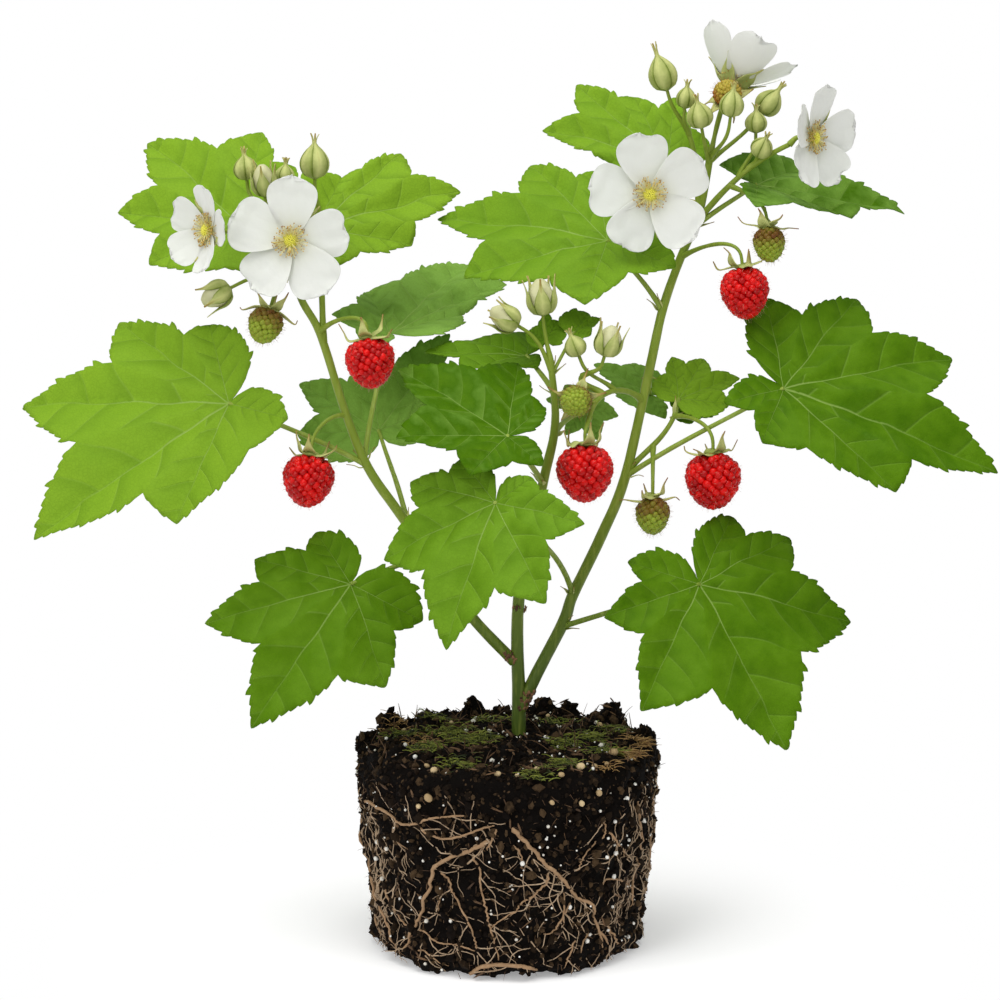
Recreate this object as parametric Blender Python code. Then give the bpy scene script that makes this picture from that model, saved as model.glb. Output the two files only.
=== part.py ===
"""A thimbleberry plant out of its pot, standing on its own root ball.

The root ball is a tapered plug of soil, with the main roots lying on its outside. Three canes
rise from it and carry the leaves, flowers, berries and buds on petioles and thin stalks.

The tables are in millimetres and degrees. +Z is up, -Y is the plant's front, and the origin is
the middle of the root ball's flat bottom.
"""

import math
from collections import namedtuple

import bmesh
import bpy
from mathutils import Matrix, Vector, noise

MM = 0.001
WELD = 1e-6  # points this close, in metres, are one point
GAP = 0.3  # clearance between pieces that touch on the real plant
NEARLY_UPRIGHT = 0.9  # a facing with more of this upwards takes its level direction from the back

# ---------------------------------------------------------------------------------------------
# Root ball and roots

BALL_SIDE = [(54.0, 0.0), (56.5, 2.5), (60.5, 44.0), (64.5, 84.0)]  # (radius, height) up the side
BALL_CROWN = [(62.0, 88.5), (44.0, 90.0), (22.0, 91.5), (0.0, 92.0)]  # in over the top
BALL_SIDES = 32
SOIL_SWELL = 2.0  # how far the crown's lumps rise and fall
SOIL_LUMP = 22.0  # about how wide a lump is

# A root's course as (degrees round from the front, height), its thickness at both ends.
ROOTS = {
    "root_front_right": (
        [(2, 67), (8, 60), (14, 52), (20, 46), (28, 36), (36, 30), (40, 20), (50, 9)], 1.5, 0.7),
    "root_front_left": (
        [(-6, 62), (-16, 56), (-27, 50), (-32, 38), (-38, 26), (-44, 16), (-50, 6)], 1.4, 0.7),
    "root_left_upper": (
        [(-78, 64), (-65, 69), (-54, 67), (-45, 64), (-36, 66), (-30, 69), (-15, 72)], 1.0, 0.6),
    "root_left_side": ([(-100, 72), (-88, 56), (-76, 38), (-66, 27), (-58, 15), (-54, 5)], 1.2, 0.6),
    "root_back": ([(195, 70), (180, 55), (170, 40), (155, 25), (150, 8)], 1.4, 0.7),
}

# ---------------------------------------------------------------------------------------------
# Canes: the points that each one passes through, and its radius at the bottom and the top

Cane = namedtuple("Cane", "route bottom top")
CANES = {
    "cane_center": Cane(
        [(5, 5, 70), (5, 5, 105), (5, 0, 150), (15, -5, 200), (20, -5, 225), (18, -8, 252)], 3.3, 1.3),
    "cane_left": Cane(
        [(3, 3, 122), (-15, 0, 142), (-30, -5, 165), (-45, -5, 187), (-58, -8, 207), (-67, -10, 230),
         (-77, -12, 263), (-85, -14, 279), (-90, -14, 300)], 2.4, 1.4),
    "cane_right": Cane(
        [(5, 5, 100), (13, 5, 117), (24, 8, 138), (28, 8, 150), (40, 10, 175), (50, 12, 200),
         (60, 15, 245), (66, 18, 272), (74, 22, 294), (81, 24, 310), (86, 26, 338)], 2.8, 1.5),
}
PATH_STEPS = 3  # straight stretches between two points of a route
CANE_ROUNDNESS = 1  # a cane's tube is rounder than a stalk's by one step

# A stalk's foot is on a cane, at a height, or on another shoot, at a share of its length. It
# leaves bowed upwards and arrives along a direction.
STALK_PULL = 0.36  # how long the curve keeps each end's direction, as a share of the stalk
STALK_POINTS = 8
Shoot = namedtuple("Shoot", "on where bow tip arrive")
SHOOTS = {
    "shoot_left": Shoot("cane_left", 297, 0.4, (-99, -8, 314), (-0.4, 0.4, 1)),
    "shoot_left_upper": Shoot("cane_left", 260, 0.6, (-77, -6, 311), (0, 0, 1)),
    "shoot_right": Shoot("cane_right", 202, 0.0, (71, 16, 226), (0.4, 0.1, 1)),
    "shoot_arc": Shoot("cane_right", 232, 0.9, (34, -14, 229), (-0.2, -0.2, -1)),
    "shoot_arc_buds": Shoot("shoot_arc", 0.7, 0.3, (31, -6, 245), (-0.1, 0, 1)),
    "shoot_top_left": Shoot("cane_right", 310, 0.6, (76, 30, 345), (-0.4, 0, 1)),
    "shoot_top_right": Shoot("cane_right", 307, 0.3, (117, 9, 340), (1, -0.5, 0.5)),
}
SHOOT_RADIUS = (1.3, 1.0)

# ---------------------------------------------------------------------------------------------
# What the stalks carry: the stalk's foot and bow, the middle of the piece, the way that it
# points, and its (length, width)

Carried = namedtuple("Carried", "on where bow centre facing size")
BERRIES = {
    "berry_left_upper": Carried("cane_left", 264, 1.0, (-56, -24, 253), (0.1, -0.1, -1), (21, 20)),
    "berry_left_lower": Carried("cane_left", 229, 0.8, (-82, -22, 204), (-0.1, -0.1, -1), (22, 21)),
    "berry_middle": Carried("shoot_arc", 1.0, 0.0, (32, -22, 207), (0, -0.1, -1), (24, 23)),
    "berry_right_lower": Carried("shoot_right", 0.98, 0.5, (86, -4, 201), (0, -0.1, -1), (24, 23)),
    "berry_right_upper": Carried("cane_right", 292, 0.6, (99, 4, 279), (0.1, -0.1, -1), (22, 20)),
}
GREEN_BERRIES = {
    "green_berry_left": Carried("cane_left", 290, 0.0, (-99, -22, 268), (-0.3, -0.3, -1), (15, 14)),
    "green_berry_middle": Carried("shoot_arc", 0.85, 0.6, (28, -18, 236), (-0.3, -0.9, -0.1), (12, 13)),
    "green_berry_right_lower": Carried("shoot_right", 0.5, 0.0, (61, -3, 186), (0, -0.1, -1), (16, 14)),
    "green_berry_right_upper": Carried("shoot_top_right", 0.4, 0.3, (109, 6, 299), (0.1, -0.1, -1), (15, 13)),
    "green_berry_top": Carried("cane_right", 334, 0.3, (92, 20, 361), (0.1, -0.7, 0.5), (10, 12)),
}
BUDS = {
    "bud_left_behind": Carried("shoot_left", 0.9, 0.3, (-108, 0, 331), (-0.1, 0, 1), (10, 9)),
    "bud_left_opening": Carried("shoot_left", 1.0, 0.3, (-100, -8, 326), (-0.1, -0.1, 1), (13, 10)),
    "bud_left_inner": Carried("shoot_left", 0.7, 0.3, (-92, 2, 328), (0.1, 0.1, 1), (8, 7)),
    "bud_left_high": Carried("shoot_left_upper", 1.0, 0.0, (-79, -8, 334), (0, 0, 1), (14, 11)),
    "bud_left_drooping": Carried("cane_left", 292, 0.0, (-119, -18, 280), (-0.8, -0.1, -0.4), (13, 11)),
    "bud_middle_high": Carried("cane_center", 251, 0.0, (14, -8, 278), (-0.1, 0, 1), (15, 12)),
    "bud_middle_left": Carried("cane_center", 247, 0.4, (-1, -12, 270), (-0.8, -0.1, 0.5), (13, 11)),
    "bud_arc_open": Carried("shoot_arc_buds", 1.0, 0.0, (42, -10, 260), (0.3, 0, 1), (13, 11)),
    "bud_arc_small": Carried("shoot_arc", 0.5, 0.2, (28, -8, 258), (-0.4, 0, 1), (9, 8)),
    "bud_top_left": Carried("shoot_top_left", 1.0, 0.0, (65, 28, 369), (-0.3, 0, 1), (15, 11)),
    "bud_top_small": Carried("shoot_top_left", 0.95, 0.3, (75, 25, 359), (0.1, -0.1, 1), (9, 7)),
    "bud_top_round": Carried("cane_right", 331, 0.2, (80, 15, 352), (-0.2, -0.2, 1), (11, 10)),
    "bud_top_front": Carried("cane_right", 333, 0.0, (93, 8, 357), (0.1, -0.1, 1), (11, 9)),
    "bud_top_right": Carried("cane_right", 332, 0.0, (110, 26, 357), (0.6, 0, 0.8), (12, 10)),
    "bud_right_upper": Carried("shoot_top_right", 0.5, 0.4, (104, 20, 349), (0, 0, 1), (9, 8)),
    "bud_right_lower": Carried("shoot_top_right", 0.6, 0.6, (106, 11, 339), (0.3, -0.5, 0.8), (9, 8)),
}
STALK_RADIUS = (1.1, 0.8)
STALK_STRAIGHT = 3.0  # a stalk's last stretch runs along what it carries

Flower = namedtuple("Flower", "on where bow centre facing petal cup turn")
FLOWERS = {  # petal: its length; cup: how far its tip stands forward; turn: the first petal's angle
    "flower_left_front": Flower("cane_left", 297, 0.0, (-88, -26, 303), (0, -1, 0.1), 26, 3, 85),
    "flower_left_side": Flower("cane_left", 296, 0.2, (-121, -26, 307), (-0.7, -0.7, 0.1), 19, 8, 80),
    "flower_right_front": Flower("cane_right", 310, 0.2, (59, 0, 320), (0, -1, 0), 27, 3, 100),
    "flower_top": Flower("cane_right", 335, 0.0, (95, 35, 364), (0.4, 0.3, 0.8), 22, 18, 75),
    "flower_right_side": Flower("shoot_top_right", 0.9, 0.0, (126, 4, 343), (0.75, -0.65, 0), 23, 7, 85),
}
PETALS = 5
PETAL_OUTLINE = [(-36, 0.45), (-26, 0.88), (-12, 1.0), (12, 1.0), (26, 0.88)]
PETAL_THICKNESS = 0.8
CUP_CURVE = 1.5  # the power by which a petal rises towards its tip
CALYX_RADIUS = 5.5
CALYX_DEPTH = 4.0

# The round bodies of berries and buds
BODY_SIDES = 8
BODY_RINGS = 5
BERRY_MIDDLE, BERRY_TAPER = 1.04, 0.16  # share of the width at the middle, and lost at the tip
BUD_WIDEST, BUD_TAPER, BUD_SHOULDER = 1.05, 0.45, -0.1  # the point starts above the shoulder

# ---------------------------------------------------------------------------------------------
# Leaves: the petiole's foot and bow, where it meets the blade, the way that the blade's upper
# side faces, how far the middle lobe's tip sags, and where the lobes' tips stand as (right, up),
# seen from the front. The first is the middle lobe.

Leaf = namedtuple("Leaf", "on where bow at facing sag tips")
LEAVES = {
    "leaf_left": Leaf(
        "cane_left", 208, 0.1, (-115, -15, 235), (-0.2, -0.75, 0.6), 8,
        [(-195, 180), (-205, 230), (-165, 265), (-125, 265), (-90, 230), (-135, 190)]),
    "leaf_lower_left": Leaf(
        "cane_left", 170, 0.0, (-65, -20, 160), (0.1, -0.9, 0.45), 6,
        [(-105, 105), (-125, 145), (-105, 170), (-80, 180), (-35, 145), (-50, 120)]),
    "leaf_lower_right": Leaf(
        "cane_right", 136, 0.0, (80, -20, 160), (0.3, -0.8, 0.55), 7,
        [(115, 95), (145, 140), (120, 175), (95, 185), (50, 170), (40, 150), (55, 115)]),
    "leaf_right": Leaf(
        "cane_right", 200, 0.1, (115, -5, 240), (0.15, -0.75, 0.65), 8,
        [(205, 205), (190, 250), (150, 275), (110, 275), (90, 235), (105, 220), (160, 200)]),
    "leaf_front": Leaf(
        "cane_right", 150, 0.8, (-5, -55, 200), (-0.35, -0.75, 0.55), 6,
        [(-25, 145), (-50, 175), (-40, 205), (-20, 215), (10, 210), (30, 195), (15, 165)]),
    "leaf_middle": Leaf(
        "cane_center", 200, 0.1, (0, -40, 225), (0.15, -0.65, 0.75), 4,
        [(-45, 225), (-45, 250), (5, 252), (15, 235), (14, 214), (-15, 212)]),
    "leaf_upper_left": Leaf(
        "cane_left", 298, 0.0, (-110, 15, 305), (-0.1, -0.8, 0.6), 5,
        [(-165, 310), (-155, 340), (-105, 345), (-90, 330), (-95, 290), (-150, 290)]),
    "leaf_crown_left": Leaf(
        "cane_left", 293, 0.2, (-80, 14, 305), (0.3, -0.75, 0.6), 5,
        [(-20, 318), (-45, 335), (-70, 325), (-70, 290), (-40, 297)]),
    "leaf_behind_left": Leaf(
        "cane_left", 210, 0.6, (-50, 25, 260), (0.1, -0.4, 0.9), 6,
        [(0, 275), (-15, 285), (-60, 275), (-75, 266), (-60, 256), (-20, 265)]),
    "leaf_back_left": Leaf(
        "cane_left", 182, 0.4, (-55, 32, 217), (0, -0.8, 0.6), 5,
        [(-25, 255), (-60, 245), (-90, 235), (-90, 215), (-30, 225)]),
    "leaf_inner": Leaf(
        "cane_center", 238, 0.2, (8, 10, 252), (-0.05, -0.4, 0.9), 3,
        [(-35, 252), (-15, 257), (10, 260), (12, 248), (-20, 247)]),
    "leaf_back_middle": Leaf(
        "cane_right", 243, 0.0, (62, 45, 231), (-0.1, -0.65, 0.75), 3,
        [(38, 242), (54, 243), (70, 232), (68, 222), (46, 232)]),
    "leaf_side_shoot": Leaf(
        "shoot_right", 1.0, 0.3, (73, 22, 232), (0.1, -0.65, 0.75), 3,
        [(100, 239), (85, 247), (71, 248), (64, 240), (94, 229)]),
    "leaf_back_low": Leaf(
        "cane_center", 220, 0.3, (33, 35, 226), (0, -0.75, 0.65), 3,
        [(48, 223), (41, 233), (25, 236), (17, 230), (25, 216), (39, 214)]),
    "leaf_top_left": Leaf(
        "cane_right", 304, 0.4, (68, 40, 331), (-0.1, -0.8, 0.6), 4,
        [(15, 345), (30, 363), (55, 358), (73, 358), (86, 340), (45, 330)]),
    "leaf_upper_middle": Leaf(
        "cane_right", 270, 0.3, (42, 15, 300), (-0.1, -0.7, 0.7), 7,
        [(-30, 308), (10, 330), (38, 328), (70, 290), (32, 275), (-18, 284)]),
    "leaf_top_right": Leaf(
        "cane_right", 305, 0.1, (105, 21, 323), (0.25, -0.4, 0.9), 5,
        [(170, 309), (130, 330), (90, 331), (103, 315), (145, 309)]),
    "leaflet_middle": Leaf(
        "cane_center", 250, 0.6, (16, 0, 259), (-0.1, -0.75, 0.65), 1,
        [(17, 270), (21, 267), (9, 263)]),
    "leaflet_tip": Leaf(
        "cane_center", 246, 0.0, (28, 0, 263), (0, -0.6, 0.8), 1,
        [(39, 268), (34, 270), (35, 262)]),
    "leaflet_side": Leaf(
        "shoot_right", 0.95, 0.0, (73, 24, 226), (0.1, -0.65, 0.75), 1,
        [(88, 224), (80, 230), (79, 222)]),
}
LEAF_THICKNESS = 0.8
PETIOLE_RADIUS = (1.4, 1.1)
LEAFLET_PETIOLE_RADIUS = (0.8, 0.7)
LOBE_SHAPE = ((0.25, 0.84), (0.5, 0.62), (0.75, 0.84))  # (way to the next lobe, share of the reach)
WIDE_GAP = 36.0  # lobes closer together than this, in degrees, have shallower dips between them
BASE_SHAPE = ((0.14, 0.82), (0.32, 0.45), (0.5, 0.14), (0.68, 0.45), (0.86, 0.82))

# ---------------------------------------------------------------------------------------------
# Colour, roughness

FINISHES = {
    "soil": ((0.035, 0.023, 0.015), 0.95),
    "root": ((0.34, 0.20, 0.10), 0.8),
    "cane": ((0.13, 0.20, 0.035), 0.5),
    "leaf": ((0.15, 0.33, 0.03), 0.5),
    "petal": ((0.88, 0.88, 0.84), 0.6),
    "ripe": ((0.62, 0.015, 0.012), 0.3),
    "green": ((0.22, 0.27, 0.05), 0.5),
    "bud": ((0.45, 0.52, 0.22), 0.5),
}


def clear_scene():
    for obj in list(bpy.data.objects):
        bpy.data.objects.remove(obj, do_unlink=True)


def finish(kind):
    """The material of one kind of surface, made once."""
    made = bpy.data.materials.get(kind)
    if made:
        return made
    colour, roughness = FINISHES[kind]
    made = bpy.data.materials.new(kind)
    made.use_nodes = True
    shader = made.node_tree.nodes["Principled BSDF"]
    shader.inputs["Base Color"].default_value = (*colour, 1.0)
    shader.inputs["Roughness"].default_value = roughness
    shader.inputs["Metallic"].default_value = 0.0
    return made


def add_object(name, mesh, kind):
    obj = bpy.data.objects.new(name, mesh)
    bpy.context.scene.collection.objects.link(obj)
    mesh.materials.append(finish(kind))
    mesh.shade_smooth()
    return obj


def make_helper(obj):
    """Keeps an object as a cutter or a part of a union, out of the finished plant."""
    obj.hide_render = True
    obj.display_type = "WIRE"
    return obj


def combine(obj, other, operation):
    modifier = obj.modifiers.new(f"{operation.lower()}_{other.name}", "BOOLEAN")
    modifier.operation = operation
    modifier.solver = "EXACT"
    modifier.object = other


def mesh_of(name, bm):
    bmesh.ops.recalc_face_normals(bm, faces=bm.faces)
    mesh = bpy.data.meshes.new(name)
    bm.to_mesh(mesh)
    bm.free()
    return mesh


def smooth_path(points):
    """A Catmull-Rom curve through the points, as a list of points in metres."""
    through = [Vector(p) * MM for p in points]
    ends = [2 * through[0] - through[1], *through, 2 * through[-1] - through[-2]]
    path = []
    for a, b, c, d in zip(ends, ends[1:], ends[2:], ends[3:]):
        for step in range(PATH_STEPS):
            t = step / PATH_STEPS
            path.append(0.5 * (2 * b + (c - a) * t + (2 * a - 5 * b + 4 * c - d) * t**2
                               + (3 * b - a - 3 * c + d) * t**3))
    return [*path, through[-1]]


def tube_mesh(name, path, bottom, top, roundness=0):
    """A closed tube along a path, tapering evenly between two radii in millimetres."""
    curve = bpy.data.curves.new(name, "CURVE")
    curve.dimensions = "3D"
    curve.bevel_depth = MM
    curve.bevel_resolution = roundness
    curve.use_fill_caps = True
    spline = curve.splines.new("POLY")
    spline.points.add(len(path) - 1)
    for index, point in enumerate(path):
        spline.points[index].co = (*point, 1.0)
        spline.points[index].radius = bottom + (top - bottom) * index / (len(path) - 1)
    guide = bpy.data.objects.new(name, curve)
    mesh = bpy.data.meshes.new_from_object(guide)
    bpy.data.objects.remove(guide, do_unlink=True)
    bm = bmesh.new()
    bm.from_mesh(mesh)
    bpy.data.meshes.remove(mesh)
    bmesh.ops.remove_doubles(bm, verts=bm.verts, dist=WELD)
    return mesh_of(name, bm)


def fan_surface(name, outline, height):
    """An open fan inside a star-shaped outline of (degrees, reach), raised by height(x, y)."""
    bm = bmesh.new()
    centre = bm.verts.new((0, 0, height(0, 0) * MM))
    rim = []
    for degrees, reach in outline:
        angle = math.radians(degrees)
        x, y = reach * math.cos(angle), reach * math.sin(angle)
        rim.append(bm.verts.new((x * MM, y * MM, height(x, y) * MM)))
    for here, after in zip(rim, [*rim[1:], rim[0]]):
        bm.faces.new((centre, here, after))
    return mesh_of(name, bm)


def thicken(obj, thickness):
    modifier = obj.modifiers.new("thickness", "SOLIDIFY")
    modifier.thickness = thickness * MM
    modifier.offset = 0.0


def frame_matrix(at, along, normal):
    """A matrix that puts X along a direction and Z on the normal, at a point in millimetres."""
    x = along.normalized()
    z = (normal - normal.dot(x) * x).normalized()
    rotation = Matrix((x, z.cross(x), z)).transposed()
    return Matrix.Translation(Vector(at) * MM) @ rotation.to_4x4()


def facing_matrix(at, facing, turn=0.0):
    """A matrix that puts Z along a facing, with X turned from the most level direction."""
    z = Vector(facing).normalized()
    up = Vector((0, 0, 1)) if abs(z.z) < NEARLY_UPRIGHT else Vector((0, 1, 0))
    x = up.cross(z).normalized()
    spin = Matrix.Rotation(math.radians(turn), 4, "Z")
    return frame_matrix(at, x, z) @ spin


# ---------------------------------------------------------------------------------------------
# The root ball and its roots


def ball_radius(height):
    """The plug's outer radius at a height on its side."""
    for (r0, h0), (r1, h1) in zip(BALL_SIDE, BALL_SIDE[1:]):
        if h0 <= height <= h1:
            return r0 + (r1 - r0) * (height - h0) / (h1 - h0)
    raise ValueError(f"{height} is off the side of the root ball")


def make_root_ball(socket):
    bm = bmesh.new()
    profile = [(0.0, 0.0), *BALL_SIDE, *BALL_CROWN]
    chain = [bm.verts.new((r * MM, 0, h * MM)) for r, h in profile]
    edges = [bm.edges.new(pair) for pair in zip(chain, chain[1:])]
    bmesh.ops.spin(bm, geom=chain + edges, cent=(0, 0, 0), axis=(0, 0, 1),
                   angle=2 * math.pi, steps=BALL_SIDES, use_merge=True)
    bmesh.ops.remove_doubles(bm, verts=bm.verts, dist=WELD)
    for vert in bm.verts:
        if vert.co.z > BALL_CROWN[0][1] * MM - WELD:
            vert.co.z += SOIL_SWELL * MM * noise.noise(vert.co / (SOIL_LUMP * MM))
    ball = add_object("root_ball", mesh_of("root_ball", bm), "soil")
    combine(ball, socket, "DIFFERENCE")


def make_root(name, course, start, end):
    points = []
    for degrees, height in course:
        out = ball_radius(height) + start + GAP
        angle = math.radians(degrees)
        points.append((out * math.sin(angle), -out * math.cos(angle), height))
    path = smooth_path(points)
    for point in path:
        out = (ball_radius(point.z / MM) + start + GAP) * MM
        point.xy = point.xy.normalized() * out
    mesh = tube_mesh(name, path, start, end)
    add_object(name, mesh, "root")


# ---------------------------------------------------------------------------------------------
# Canes, with every stalk that they carry


def curve_between(start, end, arrive, bow):
    """A stalk's points from its foot, which it leaves bowed upwards, to its end, in millimetres."""
    reach = (end - start).length * STALK_PULL
    leave = (end - start).normalized() + Vector((0, 0, bow))
    near = start + leave.normalized() * reach
    far = end - Vector(arrive).normalized() * reach
    points = []
    for step in range(STALK_POINTS):
        t = step / (STALK_POINTS - 1)
        u = 1 - t
        points.append(start * u**3 + near * 3 * t * u**2 + far * 3 * t**2 * u + end * t**3)
    return points


def stem_points(name):
    """A cane's or a shoot's own points, in millimetres."""
    if name in CANES:
        return [point / MM for point in smooth_path(CANES[name].route)]
    row = SHOOTS[name]
    return curve_between(foot(row.on, row.where), Vector(row.tip), row.arrive, row.bow)


def foot(on, where):
    """A stalk's foot: at a height on a cane, or at a share of a shoot's length."""
    points = stem_points(on)
    measures = [p.z for p in points]
    if on in SHOOTS:
        steps = [(b - a).length for a, b in zip(points, points[1:])]
        measures = [sum(steps[:k]) / sum(steps) for k in range(len(points))]
    for a, b, low, high in zip(points, points[1:], measures, measures[1:]):
        if low <= where <= high + WELD:
            return a.lerp(b, (where - low) / (high - low))
    raise ValueError(f"{where} is off {on}")


def cane_of(name):
    """The cane that a shoot grows from in the end."""
    return name if name in CANES else cane_of(SHOOTS[name].on)


def stalk_points(row, depth):
    """The stalk's points up to the base of what it carries, which reaches depth behind its middle."""
    axis = Vector(row.facing).normalized()
    base = Vector(row.centre) - axis * (depth + GAP)
    return [*curve_between(foot(row.on, row.where), base - axis * STALK_STRAIGHT, axis, row.bow), base]


def stalks_of(cane):
    """(name, points, radii) of every shoot and stalk on this cane."""
    found = [(name, stem_points(name), SHOOT_RADIUS) for name in SHOOTS if cane_of(name) == cane]
    for table in (BERRIES, GREEN_BERRIES, BUDS):
        for name, row in table.items():
            if cane_of(row.on) == cane:
                found.append((f"{name}_stalk", stalk_points(row, row.size[0] / 2), STALK_RADIUS))
    for name, row in FLOWERS.items():
        if cane_of(row.on) == cane:
            found.append((f"{name}_stalk", stalk_points(row, CALYX_DEPTH), STALK_RADIUS))
    return found


def cane_solid(name, row, grown):
    """The cane's tube joined with its stalks, each grown outwards by so many millimetres."""
    path = smooth_path(row.route)
    mesh = tube_mesh(name, path, row.bottom + grown, row.top + grown, CANE_ROUNDNESS)
    cane = add_object(name, mesh, "cane")
    for stalk, points, (start, end) in stalks_of(name.removesuffix("_clearance")):
        mesh = tube_mesh(stalk, [p * MM for p in points], start + grown, end + grown)
        combine(cane, make_helper(add_object(stalk, mesh, "cane")), "UNION")
    return cane


def make_canes():
    """The three canes. It returns what each one clears, for the pieces that stand against it."""
    clearances = {}
    for name, row in CANES.items():
        clearances[name] = make_helper(cane_solid(f"{name}_clearance", row, GAP))
    for name, row in CANES.items():
        cane = cane_solid(name, row, 0.0)
        if name != "cane_center":
            combine(cane, clearances["cane_center"], "DIFFERENCE")
    return clearances


# ---------------------------------------------------------------------------------------------
# Leaves


def leaf_outline(lobes):
    """(degrees, reach) round the blade: each lobe's tip, the dips between lobes and the base."""
    ordered = sorted(lobes)
    outline = []
    for index, (angle, reach) in enumerate(ordered):
        last = index == len(ordered) - 1
        next_angle, next_reach = ordered[0] if last else ordered[index + 1]
        gap = next_angle - angle + (360 if last else 0)
        outline.append((angle, reach))
        depth = 1.0 if last else min(1.0, gap / WIDE_GAP)
        for way, share in BASE_SHAPE if last else LOBE_SHAPE:
            kept = 1 - (1 - share) * depth
            outline.append((angle + gap * way, (reach + (next_reach - reach) * way) * kept))
    return outline


def tip_place(row, tip):
    """Where a lobe's tip is in the blade's flat plane, for it to stand at (right, up) once sagged."""
    at, normal = Vector(row.at), Vector(row.facing).normalized()
    share = (math.dist(tip, (at.x, at.z)) / math.dist(row.tips[0], (at.x, at.z))) ** 2
    right = tip[0] - at.x + row.sag * share * normal.x
    up = tip[1] - at.z + row.sag * share * normal.z
    back = -(normal.x * right + normal.z * up) / normal.y
    return at + Vector((right, back, up))


def leaf_axes(row):
    """(towards the middle lobe's tip, to its left, out of the upper side)."""
    normal = Vector(row.facing).normalized()
    along = (tip_place(row, row.tips[0]) - Vector(row.at)).normalized()
    return along, normal.cross(along), normal


def leaf_lobes(row):
    """Every lobe as (angle from the middle lobe, reach)."""
    along, left, _ = leaf_axes(row)
    outs = [tip_place(row, tip) - Vector(row.at) for tip in row.tips]
    return [(math.degrees(math.atan2(out.dot(left), out.dot(along))), out.length) for out in outs]


def make_leaf(name, row, clearance):
    lobes = leaf_lobes(row)
    longest = lobes[0][1]
    along, _, normal = leaf_axes(row)

    def height(x, y):
        return -row.sag * (x * x + y * y) / longest**2

    blade = add_object(name, fan_surface(name, leaf_outline(lobes), height), "leaf")
    blade.matrix_world = frame_matrix(row.at, along, normal)
    thicken(blade, LEAF_THICKNESS)
    start, end = LEAFLET_PETIOLE_RADIUS if name.startswith("leaflet") else PETIOLE_RADIUS
    heel, joint = foot(row.on, row.where), Vector(row.at)
    points = curve_between(heel, joint, joint - heel, row.bow)
    mesh = tube_mesh(f"{name}_petiole", [p * MM for p in points], start, end)
    combine(blade, make_helper(add_object(f"{name}_petiole", mesh, "leaf")), "UNION")
    combine(blade, clearance, "DIFFERENCE")


# ---------------------------------------------------------------------------------------------
# Flowers, berries and buds


def ball_mesh(name, length, width, shape):
    """A round body along Z whose radius is shaped by shape(z), with z from -1 to 1."""
    bm = bmesh.new()
    bmesh.ops.create_uvsphere(bm, u_segments=BODY_SIDES, v_segments=BODY_RINGS, radius=1.0)
    for vert in bm.verts:
        wide = shape(vert.co.z) * width / 2 * MM
        vert.co = Vector((vert.co.x * wide, vert.co.y * wide, vert.co.z * length / 2 * MM))
    return mesh_of(name, bm)


def make_flower(name, row):
    outline = []
    for petal in range(PETALS):
        for offset, share in PETAL_OUTLINE:
            outline.append((petal * 360 / PETALS + offset, row.petal * share))

    def height(x, y):
        return row.cup * (math.hypot(x, y) / row.petal) ** CUP_CURVE

    flower = add_object(name, fan_surface(name, outline, height), "petal")
    flower.matrix_world = facing_matrix(row.centre, row.facing, row.turn)
    thicken(flower, PETAL_THICKNESS)
    calyx_mesh = ball_mesh(f"{name}_calyx", 2 * CALYX_DEPTH, 2 * CALYX_RADIUS, lambda z: 1.0)
    calyx = make_helper(add_object(f"{name}_calyx", calyx_mesh, "petal"))
    calyx.matrix_world = flower.matrix_world
    combine(flower, calyx, "UNION")


def make_carried(table, kind, shape):
    for name, row in table.items():
        body = add_object(name, ball_mesh(name, *row.size, shape), kind)
        body.matrix_world = facing_matrix(row.centre, row.facing)


def berry_shape(z):
    """Full at the shoulder behind, narrower towards the tip."""
    return BERRY_MIDDLE - BERRY_TAPER * z


def bud_shape(z):
    """Round below, drawn in to a point above."""
    return BUD_WIDEST - BUD_TAPER * max(0.0, z - BUD_SHOULDER)


def main():
    clear_scene()
    clearances = make_canes()
    make_root_ball(clearances["cane_center"])
    for name, (course, start, end) in ROOTS.items():
        make_root(name, course, start, end)
    for name, row in LEAVES.items():
        make_leaf(name, row, clearances[cane_of(row.on)])
    for name, row in FLOWERS.items():
        make_flower(name, row)
    make_carried(BERRIES, "ripe", berry_shape)
    make_carried(GREEN_BERRIES, "green", berry_shape)
    make_carried(BUDS, "bud", bud_shape)


main()
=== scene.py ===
# %% [markdown]
# # Thimbleberry plant on its root ball
#
# The plant stands out of its pot, on the tapered plug of compost that the pot left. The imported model
# gives every cane, leaf, flower, berry and bud its place and its rough solid. This script makes the
# surfaces over those solids: toothed and veined blades, crinkled petals, berries of many drupelets,
# sepals and hairs, and a root ball of crumbs, roots and moss.
#
# Everything is in metres with +Z up, and -Y is the plant's front.

# %% Load the frame
import math
import random
from collections import namedtuple

import bmesh
import bpy
import numpy as np
from mathutils import Matrix, Vector, noise
from mathutils.geometry import delaunay_2d_cdt


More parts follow.
